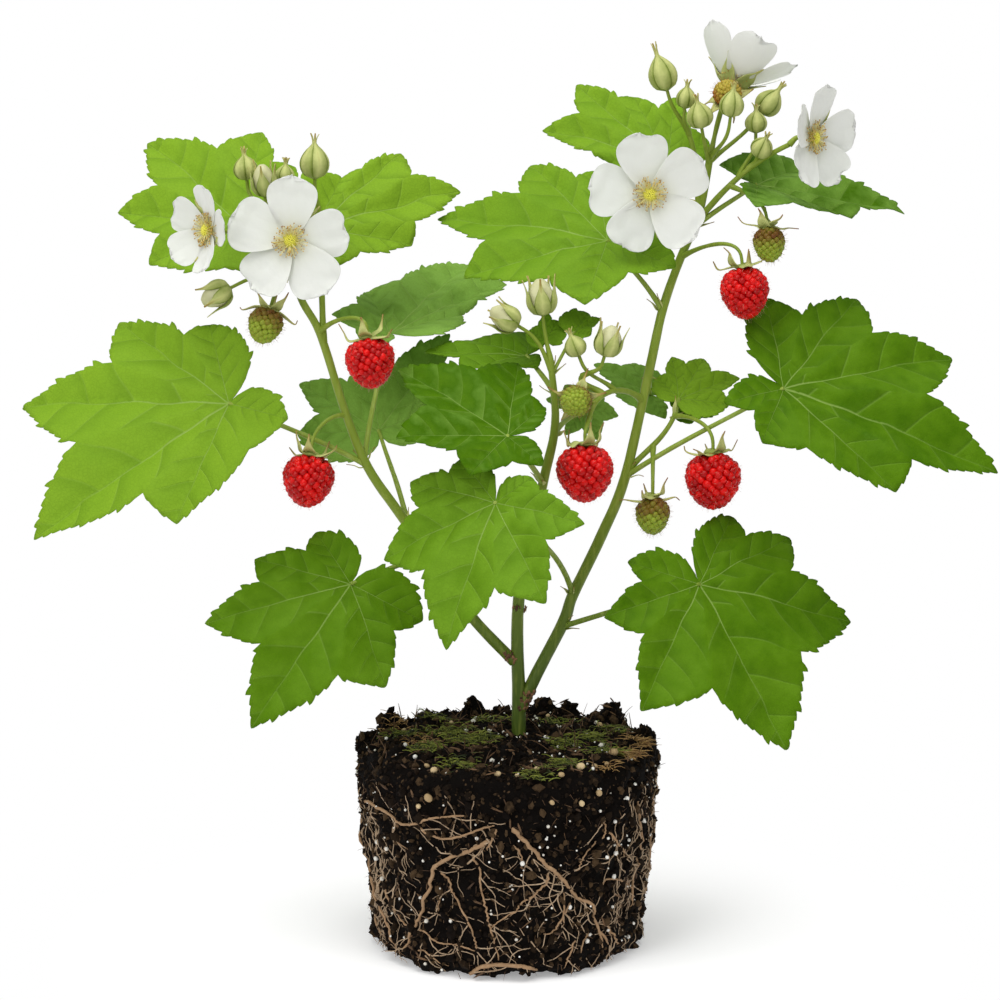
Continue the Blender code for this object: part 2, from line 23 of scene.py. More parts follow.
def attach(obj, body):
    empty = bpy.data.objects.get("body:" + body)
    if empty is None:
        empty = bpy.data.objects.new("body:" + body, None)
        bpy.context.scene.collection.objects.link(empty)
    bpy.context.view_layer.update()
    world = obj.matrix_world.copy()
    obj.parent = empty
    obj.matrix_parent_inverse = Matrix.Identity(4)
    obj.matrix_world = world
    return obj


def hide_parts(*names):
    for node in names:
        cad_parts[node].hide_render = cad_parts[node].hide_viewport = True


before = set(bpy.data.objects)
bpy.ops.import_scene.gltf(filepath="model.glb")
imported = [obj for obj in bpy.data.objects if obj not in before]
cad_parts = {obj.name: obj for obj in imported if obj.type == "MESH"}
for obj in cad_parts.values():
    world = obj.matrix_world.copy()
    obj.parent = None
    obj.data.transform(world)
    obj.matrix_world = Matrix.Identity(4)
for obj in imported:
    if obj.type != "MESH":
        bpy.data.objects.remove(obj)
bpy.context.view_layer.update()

MM = 0.001
# Where each kind of piece starts its random numbers.
SEEDS = {"leaf": 100, "flower": 400, "ripe": 500, "green": 520, "stipule": 650, "scar": 660, "bud": 700,
         "clod": 31, "old_root": 71, "fine_root": 77, "litter": 55, "moss": 61, "straw": 62, "fibre": 63}


def chance(kind, index=0):
    """A piece's own random numbers, the same in every run."""
    return random.Random(SEEDS[kind] + index)


print("frame:", len(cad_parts), "nodes")

# %% [markdown]
# ## Camera, light and floor
#
# A long lens at a low angle keeps the leaves' outlines free of perspective. The light is that of a
# studio with white paper: a pale surround fills the shadows, a very broad lamp overhead and a smaller
# one high on the left in front give the leaves and berries a soft bright side. The paper takes only a
# faint shadow. The surround looks pure white to the camera but lights the plant less than it looks,
# because a fully white room would wash the deep greens and reds out with its reflection.

# %% Camera
CAMERA_LENS = 110
CAMERA_DISTANCE = 1.283
CAMERA_LOOKS_DOWN = 9.3  # degrees
CAMERA_AIM = Vector((-0.003, 0.0, 0.192))


def object_of(name, data, *finishes):
    """An object in the scene for a camera, a lamp, a curve or a mesh; a mesh takes the finishes."""
    obj = bpy.data.objects.new(name, data)
    bpy.context.scene.collection.objects.link(obj)
    for material in finishes:
        data.materials.append(material)
    return obj


def add_camera():
    data = bpy.data.cameras.new("camera")
    data.lens = CAMERA_LENS
    camera = object_of("camera", data)
    down = math.radians(CAMERA_LOOKS_DOWN)
    sight = Vector((0, math.cos(down), -math.sin(down)))
    camera.location = CAMERA_AIM - sight * CAMERA_DISTANCE
    camera.rotation_euler = sight.to_track_quat("-Z", "Y").to_euler()
    bpy.context.scene.camera = camera


add_camera()

# %% Light
LAMP_AIM = Vector((0, 0, 0.2))


def add_surround(seen, lighting):
    """A white surround, this bright to the eye and this strong as a light."""
    world = bpy.data.worlds.new("white surround")
    world.use_nodes = True
    tree = world.node_tree
    background = tree.nodes["Background"]
    background.inputs["Color"].default_value = (1, 1, 1, 1)
    ray = tree.nodes.new("ShaderNodeLightPath")
    strength = tree.nodes.new("ShaderNodeMapRange")
    strength.inputs["To Min"].default_value = lighting
    strength.inputs["To Max"].default_value = seen
    tree.links.new(ray.outputs["Is Camera Ray"], strength.inputs["Value"])
    tree.links.new(strength.outputs[0], background.inputs["Strength"])
    bpy.context.scene.world = world


def add_lamp(name, place, size, power):
    data = bpy.data.lights.new(name, "AREA")
    data.shape = "DISK"
    data.size = size
    data.energy = power
    lamp = object_of(name, data)
    lamp.location = place
    lamp.rotation_euler = (LAMP_AIM - lamp.location).to_track_quat("-Z", "Y").to_euler()


add_surround(seen=1.0, lighting=0.45)
add_lamp("lamp_overhead", (-0.1, -0.5, 2.2), size=2.4, power=44)
add_lamp("lamp_front_left", (-1.0, -1.5, 1.0), size=0.8, power=8)
bpy.context.scene.view_settings.view_transform = "Standard"

# %% [markdown]
# ## Small helpers for node trees
#
# Shader trees and geometry trees are both built in the script. `add_node` makes a node, links each
# input that is given a socket and sets each one that is given a value, so a tree reads from top to
# bottom like a recipe.

# %% Node helpers
def add_node(tree, kind, inputs=None, **settings):
    made = tree.nodes.new(kind)
    for name, value in settings.items():
        setattr(made, name, value)
    for socket, value in (inputs or {}).items():
        if isinstance(value, bpy.types.NodeSocket):
            tree.links.new(value, made.inputs[socket])
        else:
            made.inputs[socket].default_value = value
    return made


def calculate(tree, operation, *values):
    return add_node(tree, "ShaderNodeMath", dict(enumerate(values)), operation=operation).outputs[0]


def weighed_sum(tree, *pairs):
    """The sum of some values, each times its weight, from pairs of (value, weight)."""
    total = calculate(tree, "MULTIPLY", *pairs[0])
    for value, weight in pairs[1:]:
        total = calculate(tree, "MULTIPLY_ADD", value, weight, total)
    return total


MIX_A, MIX_B, MIX_RESULT = 6, 7, 2


def mix_colour(tree, factor, first, second):
    """The first colour, going over to the second as the factor goes from 0 to 1."""
    first, second = [c if isinstance(c, bpy.types.NodeSocket) else (*c, 1.0) for c in (first, second)]
    made = add_node(tree, "ShaderNodeMix", {0: factor, MIX_A: first, MIX_B: second}, data_type="RGBA")
    return made.outputs[MIX_RESULT]


def colour_ramp(tree, value, *stops):
    """The colour that belongs to a value, from stops of (position, colour) in rising order."""
    ramp = add_node(tree, "ShaderNodeValToRGB", {0: value})
    elements = ramp.color_ramp.elements
    for element, (position, colour) in zip((elements[0], elements[1]), (stops[0], stops[-1])):
        element.position = position
        element.color = (*colour, 1)
    for position, colour in stops[1:-1]:
        elements.new(position).color = (*colour, 1)
    return ramp.outputs[0]


def spread(tree, value, low, high, to_low=0.0, to_high=1.0):
    """The value mapped from low..high to to_low..to_high, held at both ends."""
    made = add_node(tree, "ShaderNodeMapRange",
                    {0: value, 1: low, 2: high, 3: to_low, 4: to_high}, interpolation_type="SMOOTHSTEP")
    return made.outputs[0]


def speckle(tree, place, scale, detail=2.0, roughness=0.5):
    made = add_node(tree, "ShaderNodeTexNoise",
                    {"Vector": place, "Scale": scale, "Detail": detail, "Roughness": roughness})
    return made.outputs[0]


def attribute(tree, name):
    return add_node(tree, "ShaderNodeAttribute", attribute_name=name).outputs["Fac"]


def new_finish(name, roughness, **settings):
    """A material, its tree, its shader and the object's own coordinates."""
    material = bpy.data.materials.new(name)
    material.use_nodes = True
    tree = material.node_tree
    shader = tree.nodes["Principled BSDF"]
    shader.inputs["Roughness"].default_value = roughness
    for socket, value in settings.items():
        shader.inputs[socket.replace("_", " ")].default_value = value
    place = add_node(tree, "ShaderNodeTexCoord").outputs["Object"]
    return material, tree, shader, place


def add_bump(tree, shader, height, distance, strength=1.0):
    made = add_node(tree, "ShaderNodeBump",
                    {"Height": height, "Distance": distance, "Strength": strength})
    tree.links.new(made.outputs[0], shader.inputs["Normal"])


# %% Floor
FLOOR_RADIUS = 6.0
GLOW_FROM, GLOW_FULL = 0.07, 0.2  # from the plant's middle, in metres
GLOW_UNDER = 0.3                  # how much the paper glows even under the plant


def make_floor():
    """White paper whose own glow takes over away from the plant, so that no horizon shows."""
    floor_finish, tree, shader, place = new_finish("floor_paper", 0.9, Specular_IOR_Level=0.0)
    away = add_node(tree, "ShaderNodeVectorMath", {0: place}, operation="LENGTH").outputs["Value"]
    glow = spread(tree, away, GLOW_FROM, GLOW_FULL)
    paper = mix_colour(tree, speckle(tree, place, 300.0), (0.90, 0.90, 0.90), (0.92, 0.92, 0.92))
    tree.links.new(mix_colour(tree, glow, paper, (0, 0, 0)), shader.inputs["Base Color"])
    shader.inputs["Emission Color"].default_value = (1, 1, 1, 1)
    strength = spread(tree, away, GLOW_FROM, GLOW_FULL, GLOW_UNDER, 1.0)
    tree.links.new(strength, shader.inputs["Emission Strength"])
    bm = bmesh.new()
    bmesh.ops.create_circle(bm, cap_ends=True, segments=96, radius=FLOOR_RADIUS)
    mesh = bpy.data.meshes.new("floor")
    bm.to_mesh(mesh)
    bm.free()
    floor = object_of("floor", mesh, floor_finish)


make_floor()

# %% [markdown]
# ## Pieces and geometry trees
#
# Every finished piece rides on the plant's one body and stands for the rough solids that it covers. A
# geometry tree works on a simple object, a set of points or a few curves, and its result is kept as a
# plain mesh.

# %% Piece helpers
def keep_piece(obj, slot, *nodes):
    """Rides a finished piece on the plant in place of these rough solids."""
    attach(obj, "root")
    if nodes:
        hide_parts(*nodes)
    print(f"{obj.name}: {len(obj.data.polygons)} faces")
    return obj


def discard(*objects):
    for obj in objects:
        bpy.data.objects.remove(obj, do_unlink=True)


def join_pieces(name, pieces):
    """One mesh object out of several, keeping each one's finishes and attributes."""
    with bpy.context.temp_override(active_object=pieces[0], selected_editable_objects=pieces):
        bpy.ops.object.join()
    pieces[0].name = name
    return pieces[0]


# %% Run a geometry tree
def new_tree(name, inputs):
    """A geometry tree with a Geometry input and output and these further inputs, {name: socket type}."""
    tree = bpy.data.node_groups.new(name, "GeometryNodeTree")
    tree.interface.new_socket("Geometry", in_out="INPUT", socket_type="NodeSocketGeometry")
    for socket, kind in inputs.items():
        tree.interface.new_socket(socket, in_out="INPUT", socket_type=f"NodeSocket{kind}")
    tree.interface.new_socket("Geometry", in_out="OUTPUT", socket_type="NodeSocketGeometry")
    return tree, tree.nodes.new("NodeGroupInput"), tree.nodes.new("NodeGroupOutput")


def close_tree(tree, start, end, geometry, smooth=True):
    """Ends a tree in plain mesh with its finish on."""
    real = add_node(tree, "GeometryNodeRealizeInstances", {"Geometry": geometry})
    shaded = add_node(tree, "GeometryNodeSetShadeSmooth",
                      {"Geometry": real.outputs[0], "Shade Smooth": smooth})
    painted = add_node(tree, "GeometryNodeSetMaterial",
                       {"Geometry": shaded.outputs[0], "Material": start.outputs["Finish"]})
    tree.links.new(painted.outputs[0], end.inputs[0])
    return tree


def run_tree(tree, base, name, inputs):
    """The tree's result on this object as a plain mesh object; the base is used up."""
    modifier = base.modifiers.new(tree.name, "NODES")
    modifier.node_group = tree
    for item in tree.interface.items_tree:
        if item.in_out == "INPUT" and item.name in inputs:
            modifier[item.identifier] = inputs[item.name]
    graph = bpy.context.evaluated_depsgraph_get()
    mesh = bpy.data.meshes.new_from_object(base.evaluated_get(graph), depsgraph=graph)
    base.modifiers.remove(modifier)
    discard(base)
    mesh.name = name
    return object_of(name, mesh)


# %% [markdown]
# Stems and roots are tubes along a path. A curve carries each path with a radius at every point, and
# the tree sweeps a ring along it and then pushes the skin in and out a little, so that no stem is a
# perfect tube.

# %% Tubes along paths
def make_tube_tree():
    tree, start, end = new_tree("tube_along_path", {
        "Sides": "Int", "Roughness": "Float", "Lump Size": "Float", "Finish": "Material"})
    ring = add_node(tree, "GeometryNodeCurvePrimitiveCircle",
                    {"Resolution": start.outputs["Sides"], "Radius": 1.0})
    radius = add_node(tree, "GeometryNodeInputRadius")
    tube = add_node(tree, "GeometryNodeCurveToMesh", {
        "Curve": start.outputs["Geometry"], "Profile Curve": ring.outputs[0],
        "Scale": radius.outputs[0], "Fill Caps": True})
    scale = calculate(tree, "DIVIDE", 1.0, start.outputs["Lump Size"])
    lumps = add_node(tree, "ShaderNodeTexNoise", {"Scale": scale, "Detail": 1.0})
    push = calculate(tree, "MULTIPLY", calculate(tree, "SUBTRACT", lumps.outputs[0], 0.5),
                     start.outputs["Roughness"])
    normal = add_node(tree, "GeometryNodeInputNormal")
    offset = add_node(tree, "ShaderNodeVectorMath", {0: normal.outputs[0], 3: push}, operation="SCALE")
    moved = add_node(tree, "GeometryNodeSetPosition",
                     {"Geometry": tube.outputs[0], "Offset": offset.outputs[0]})
    return close_tree(tree, start, end, moved.outputs[0])


TUBE_TREE = make_tube_tree()


def smooth_path(points, steps=6):
    """A Catmull-Rom curve through points in millimetres, as a list of points in millimetres."""
    through = [Vector(p) for p in points]
    ends = [2 * through[0] - through[1], *through, 2 * through[-1] - through[-2]]
    path = []
    for a, b, c, d in zip(ends, ends[1:], ends[2:], ends[3:]):
        for step in range(steps):
            t = step / steps
            path.append(0.5 * (2 * b + (c - a) * t + (2 * a - 5 * b + 4 * c - d) * t**2
                               + (3 * b - a - 3 * c + d) * t**3))
    return [*path, through[-1]]


def make_tubes(name, paths, finish, sides=10, roughness=0.0, lump=6.0):
    """Tubes for a list of (points, radii), one radius for each point, in millimetres."""
    curve = bpy.data.curves.new(name, "CURVE")
    curve.dimensions = "3D"
    for points, radii in paths:
        spline = curve.splines.new("POLY")
        spline.points.add(len(points) - 1)
        for point, place, radius in zip(spline.points, points, radii):
            point.co = (*(Vector(place) * MM), 1.0)
            point.radius = radius * MM
    return run_tree(TUBE_TREE, object_of(name, curve), name, {
        "Sides": sides, "Roughness": roughness * MM, "Lump Size": lump * MM, "Finish": finish})


def tapered(points, bottom, top):
    """(points, radii) of a path whose radius goes evenly from bottom to top."""
    last = len(points) - 1
    return points, [bottom + (top - bottom) * i / last for i in range(len(points))]


# %% [markdown]
# Drupelets, hairs, anthers and crumbs are many copies of one small shape. Each copy has a point that
# carries the way it faces, its size and its turn, and one tree puts the shape on all of them.

# %% Copies on points
def make_copy_tree():
    tree, start, end = new_tree("copies_on_points", {"Piece": "Object", "Finish": "Material"})
    shape = add_node(tree, "GeometryNodeObjectInfo", {"Object": start.outputs["Piece"]})
    axis = add_node(tree, "GeometryNodeInputNamedAttribute", {"Name": "axis"}, data_type="FLOAT_VECTOR")
    size = add_node(tree, "GeometryNodeInputNamedAttribute", {"Name": "size"}, data_type="FLOAT_VECTOR")
    turn = add_node(tree, "GeometryNodeInputNamedAttribute", {"Name": "turn"}, data_type="FLOAT")
    facing = add_node(tree, "FunctionNodeAlignRotationToVector", {"Vector": axis.outputs[0]}, axis="Z")
    spin = add_node(tree, "FunctionNodeAxisAngleToRotation", {"Axis": (0, 0, 1), "Angle": turn.outputs[0]})
    turned = add_node(tree, "FunctionNodeRotateRotation",
                      {0: facing.outputs[0], 1: spin.outputs[0]}, rotation_space="LOCAL")
    copies = add_node(tree, "GeometryNodeInstanceOnPoints", {
        "Points": start.outputs["Geometry"], "Instance": shape.outputs["Geometry"],
        "Rotation": turned.outputs[0], "Scale": size.outputs[0]})
    return close_tree(tree, start, end, copies.outputs[0])


COPY_TREE = make_copy_tree()
Copy = namedtuple("Copy", "place axis size turn tone")
COPY_ATTRIBUTES = {"axis": "FLOAT_VECTOR", "size": "FLOAT_VECTOR", "turn": "FLOAT", "tone": "FLOAT"}


def chance_copy(rng, place, axis, size):
    """A copy with a turn and a tone of its own."""
    return Copy(place, axis, size, rng.uniform(0, 6), rng.random())


def set_out(name, copies, shape, finish):
    """A mesh object of one shape copied to each place, in millimetres, with the copy's own tone."""
    mesh = bpy.data.meshes.new(name)
    mesh.from_pydata([Vector(c.place) * MM for c in copies], [], [])
    for key, kind in COPY_ATTRIBUTES.items():
        values = mesh.attributes.new(key, kind, "POINT")
        flat = np.array([getattr(c, key) for c in copies], np.float32).ravel()
        values.data.foreach_set("vector" if kind == "FLOAT_VECTOR" else "value", flat)
    return run_tree(COPY_TREE, object_of(name, mesh), name, {"Piece": shape, "Finish": finish})


def helper_shape(name, bm, *finishes):
    """A shape in millimetres, to be copied and then discarded or to be joined to a piece."""
    bmesh.ops.scale(bm, vec=(MM, MM, MM), verts=bm.verts)
    bmesh.ops.recalc_face_normals(bm, faces=bm.faces)
    mesh = bpy.data.meshes.new(name)
    bm.to_mesh(mesh)
    bm.free()
    return object_of(name, mesh, *finishes)


# %% Round bodies and thin sheets
def round_body(name, segments, rings, finish, moved):
    """A smooth closed body: a unit ball whose points a function moves, in millimetres."""
    bm = bmesh.new()
    bmesh.ops.create_uvsphere(bm, u_segments=segments, v_segments=rings, radius=1.0)
    for vertex in bm.verts:
        vertex.co = moved(vertex.co.copy())
    body = helper_shape(name, bm, finish)
    body.data.shade_smooth()
    return body


def thickened(base, thick, offset=0.0, back_finish=0):
    """A thin surface as a closed mesh this thick, in millimetres; the surface is used up."""
    name = base.name
    shell = base.modifiers.new("thickness", "SOLIDIFY")
    shell.thickness = thick * MM
    shell.offset = offset
    shell.material_offset = back_finish
    solid = bpy.data.meshes.new_from_object(base.evaluated_get(bpy.context.evaluated_depsgraph_get()))
    discard(base)
    solid.name = name
    return object_of(name, solid)


# %% [markdown]
# ## Where everything grows
#
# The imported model's tables are repeated here in millimetres, with the formulas that turn them into
# stems and blades. A stalk's foot is a height on its cane or a share of another shoot's length. Its
# points follow one curve, which leaves the foot bowed upwards and arrives along what it carries. A
# leaf is given by the way that it faces and by where its lobes' tips stand, seen from the front.

# %% Canes and shoots
def rows_of(kind, table):
    """A table's rows as named tuples of one kind."""
    return {name: kind(*row) for name, row in table.items()}


# The middle of a cane as points up it, and its radius at its bottom and its top.
Cane = namedtuple("Cane", "route bottom top")
CANES = rows_of(Cane, {
    "cane_center": (
        [(5, 5, 70), (5, 5, 105), (5, 0, 150), (15, -5, 200), (20, -5, 225), (18, -8, 252)], 3.3, 1.3),
    "cane_left": (
        [(3, 3, 122), (-15, 0, 142), (-30, -5, 165), (-45, -5, 187), (-58, -8, 207), (-67, -10, 230),
         (-77, -12, 263), (-85, -14, 279), (-90, -14, 300)], 2.4, 1.4),
    "cane_right": (
        [(5, 5, 100), (13, 5, 117), (24, 8, 138), (28, 8, 150), (40, 10, 175), (50, 12, 200),
         (60, 15, 245), (66, 18, 272), (74, 22, 294), (81, 24, 310), (86, 26, 338)], 2.8, 1.5),
})
# What a shoot grows on and where, its bow, its tip and the way that it arrives there.
Shoot = namedtuple("Shoot", "on where bow tip arrive")
SHOOTS = rows_of(Shoot, {
    "shoot_left": ("cane_left", 297, 0.4, (-99, -8, 314), (-0.4, 0.4, 1)),
    "shoot_left_upper": ("cane_left", 260, 0.6, (-77, -6, 311), (0, 0, 1)),
    "shoot_right": ("cane_right", 202, 0.0, (71, 16, 226), (0.4, 0.1, 1)),
    "shoot_arc": ("cane_right", 232, 0.9, (34, -14, 229), (-0.2, -0.2, -1)),
    "shoot_arc_buds": ("shoot_arc", 0.7, 0.3, (31, -6, 245), (0.6, -0.1, 0.8)),
    "shoot_top_left": ("cane_right", 310, 0.6, (76, 30, 345), (-0.4, 0, 1)),
    "shoot_top_right": ("cane_right", 307, 0.3, (117, 9, 340), (1, -0.5, 0.5)),
})
STALK_PULL = 0.36    # how long the curve keeps each end's direction, as a share of the stalk
STALK_POINTS = 18
STALK_STRAIGHT = 3.0  # a stalk's last stretch runs along what it carries

# %% Berries, buds and flowers
# The stalk's foot and bow, the middle of the piece, the way that it points, and its (length, width).
Carried = namedtuple("Carried", "on where bow centre facing size")
BERRIES = rows_of(Carried, {
    "berry_left_upper": ("cane_left", 264, 1.0, (-56, -24, 253), (0.1, -0.1, -1), (21, 20)),
    "berry_left_lower": ("cane_left", 229, 0.8, (-82, -22, 204), (-0.1, -0.1, -1), (22, 21)),
    "berry_middle": ("shoot_arc", 1.0, 0.0, (32, -22, 207), (0, -0.1, -1), (24, 23)),
    "berry_right_lower": ("shoot_right", 0.98, 0.5, (86, -4, 201), (0, -0.1, -1), (24, 23)),
    "berry_right_upper": ("cane_right", 292, 0.6, (99, 4, 279), (0.1, -0.1, -1), (22, 20)),
})
GREEN_BERRIES = rows_of(Carried, {
    "green_berry_left": ("cane_left", 290, 0.0, (-99, -22, 268), (-0.3, -0.3, -1), (15, 14)),
    "green_berry_middle": ("shoot_arc", 0.85, 0.6, (28, -18, 236), (-0.3, -0.9, -0.1), (12, 13)),
    "green_berry_right_lower": ("shoot_right", 0.5, 0.0, (61, -3, 186), (0, -0.1, -1), (16, 14)),
    "green_berry_right_upper": ("shoot_top_right", 0.4, 0.3, (109, 6, 299), (0.1, -0.1, -1), (15, 13)),
    "green_berry_top": ("cane_right", 334, 0.3, (92, 20, 361), (0.1, -0.7, 0.5), (10, 12)),
})
BUDS = rows_of(Carried, {
    "bud_left_behind": ("shoot_left", 0.9, 0.3, (-108, 0, 331), (-0.1, 0, 1), (10, 9)),
    "bud_left_opening": ("shoot_left", 1.0, 0.3, (-100, -8, 326), (-0.1, -0.1, 1), (13, 10)),
    "bud_left_inner": ("shoot_left", 0.7, 0.3, (-92, 2, 328), (0.1, 0.1, 1), (8, 7)),
    "bud_left_high": ("shoot_left_upper", 1.0, 0.0, (-79, -8, 334), (0, 0, 1), (14, 11)),
    "bud_left_drooping": ("cane_left", 292, 0.0, (-119, -18, 280), (-0.8, -0.1, -0.4), (13, 11)),
    "bud_middle_high": ("cane_center", 251, 0.0, (14, -8, 278), (-0.1, 0, 1), (15, 12)),
    "bud_middle_left": ("cane_center", 247, 0.4, (-1, -12, 270), (-0.8, -0.1, 0.5), (13, 11)),
    "bud_arc_open": ("shoot_arc_buds", 1.0, 0.0, (42, -10, 260), (0.3, 0, 1), (13, 11)),
    "bud_arc_small": ("shoot_arc", 0.5, 0.2, (28, -8, 258), (-0.4, 0, 1), (9, 8)),
    "bud_top_left": ("shoot_top_left", 1.0, 0.0, (65, 28, 369), (-0.3, 0, 1), (15, 11)),
    "bud_top_small": ("shoot_top_left", 0.95, 0.3, (75, 25, 359), (0.1, -0.1, 1), (9, 7)),
    "bud_top_round": ("cane_right", 331, 0.2, (80, 15, 352), (-0.2, -0.2, 1), (11, 10)),
    "bud_top_front": ("cane_right", 333, 0.0, (93, 8, 357), (0.1, -0.1, 1), (11, 9)),
    "bud_top_right": ("cane_right", 332, 0.0, (110, 26, 357), (0.6, 0, 0.8), (12, 10)),
    "bud_right_upper": ("shoot_top_right", 0.5, 0.4, (104, 20, 349), (0, 0, 1), (9, 8)),
    "bud_right_lower": ("shoot_top_right", 0.6, 0.6, (106, 11, 339), (0.3, -0.5, 0.8), (9, 8)),
})
# A flower has its petals' length, how far their tips stand forward and the first one's angle instead.
Flower = namedtuple("Flower", "on where bow centre facing petal cup turn")
FLOWERS = rows_of(Flower, {
    "flower_left_front": ("cane_left", 297, 0.0, (-88, -26, 303), (0, -1, 0.1), 26, 3, 85),
    "flower_left_side": ("cane_left", 296, 0.2, (-121, -26, 307), (-0.7, -0.7, 0.1), 19, 8, 80),
    "flower_right_front": ("cane_right", 310, 0.2, (59, 0, 320), (0, -1, 0), 27, 3, 100),
    "flower_top": ("cane_right", 335, 0.0, (95, 35, 364), (0.4, 0.3, 0.8), 22, 18, 75),
    "flower_right_side": ("shoot_top_right", 1.0, 0.0, (126, 4, 343), (0.75, -0.65, 0), 23, 7, 85),
})
CALYX_DEPTH = 4.0
PETALS = 5


# %% Stalks from the tables
def bezier(a, b, c, d, t):
    """The point at a share t of a curve from a to d that is drawn towards b and c."""
    u = 1 - t
    return a * u**3 + b * 3 * t * u**2 + c * 3 * t * t * u + d * t**3


def curve_between(start, end, arrive, bow):
    """A stalk's points from its foot, which it leaves bowed upwards, to its end, in millimetres."""
    reach = (end - start).length * STALK_PULL
    leave = (end - start).normalized() + Vector((0, 0, bow))
    near = start + leave.normalized() * reach
    far = end - Vector(arrive).normalized() * reach
    return [bezier(start, near, far, end, step / (STALK_POINTS - 1)) for step in range(STALK_POINTS)]


def stem_points(name):
    """A cane's or a shoot's own points, in millimetres."""
    if name in CANES:
        return smooth_path(CANES[name].route)
    row = SHOOTS[name]
    return curve_between(foot(row.on, row.where), Vector(row.tip), row.arrive, row.bow)


def foot(on, where):
    """A stalk's foot: at a height on a cane, or at a share of a shoot's length."""
    points = stem_points(on)
    measures = [p.z for p in points]
    if on in SHOOTS:
        steps = [(b - a).length for a, b in zip(points, points[1:])]
        measures = [sum(steps[:k]) / sum(steps) for k in range(len(points))]
    for a, b, low, high in zip(points, points[1:], measures, measures[1:]):
        if low <= where <= high + 1e-6:
            return a.lerp(b, (where - low) / (high - low))
    raise ValueError(f"{where} is off {on}")


def cane_of(name):
    """The cane that a shoot grows from in the end."""
    return name if name in CANES else cane_of(SHOOTS[name].on)


def stalk_points(row, depth):
    """The stalk's points into the base of what it carries, which reaches depth behind its middle."""
    axis = Vector(row.facing).normalized()
    base = Vector(row.centre) - axis * depth
    start = foot(row.on, row.where)
    return [*curve_between(start, base - axis * STALK_STRAIGHT, axis, row.bow), base + axis]


def facing_matrix(at, facing, turn=0.0):
    """A piece's own frame: Z is the way that it faces, and it is turned about Z."""
    z = Vector(facing).normalized()
    up = Vector((0, 0, 1)) if abs(z.z) < 0.9 else Vector((0, 1, 0))
    x = up.cross(z).normalized()
    axes = Matrix((x, z.cross(x), z)).transposed()
    return Matrix.Translation(Vector(at)) @ axes.to_4x4() @ Matrix.Rotation(math.radians(turn), 4, "Z")
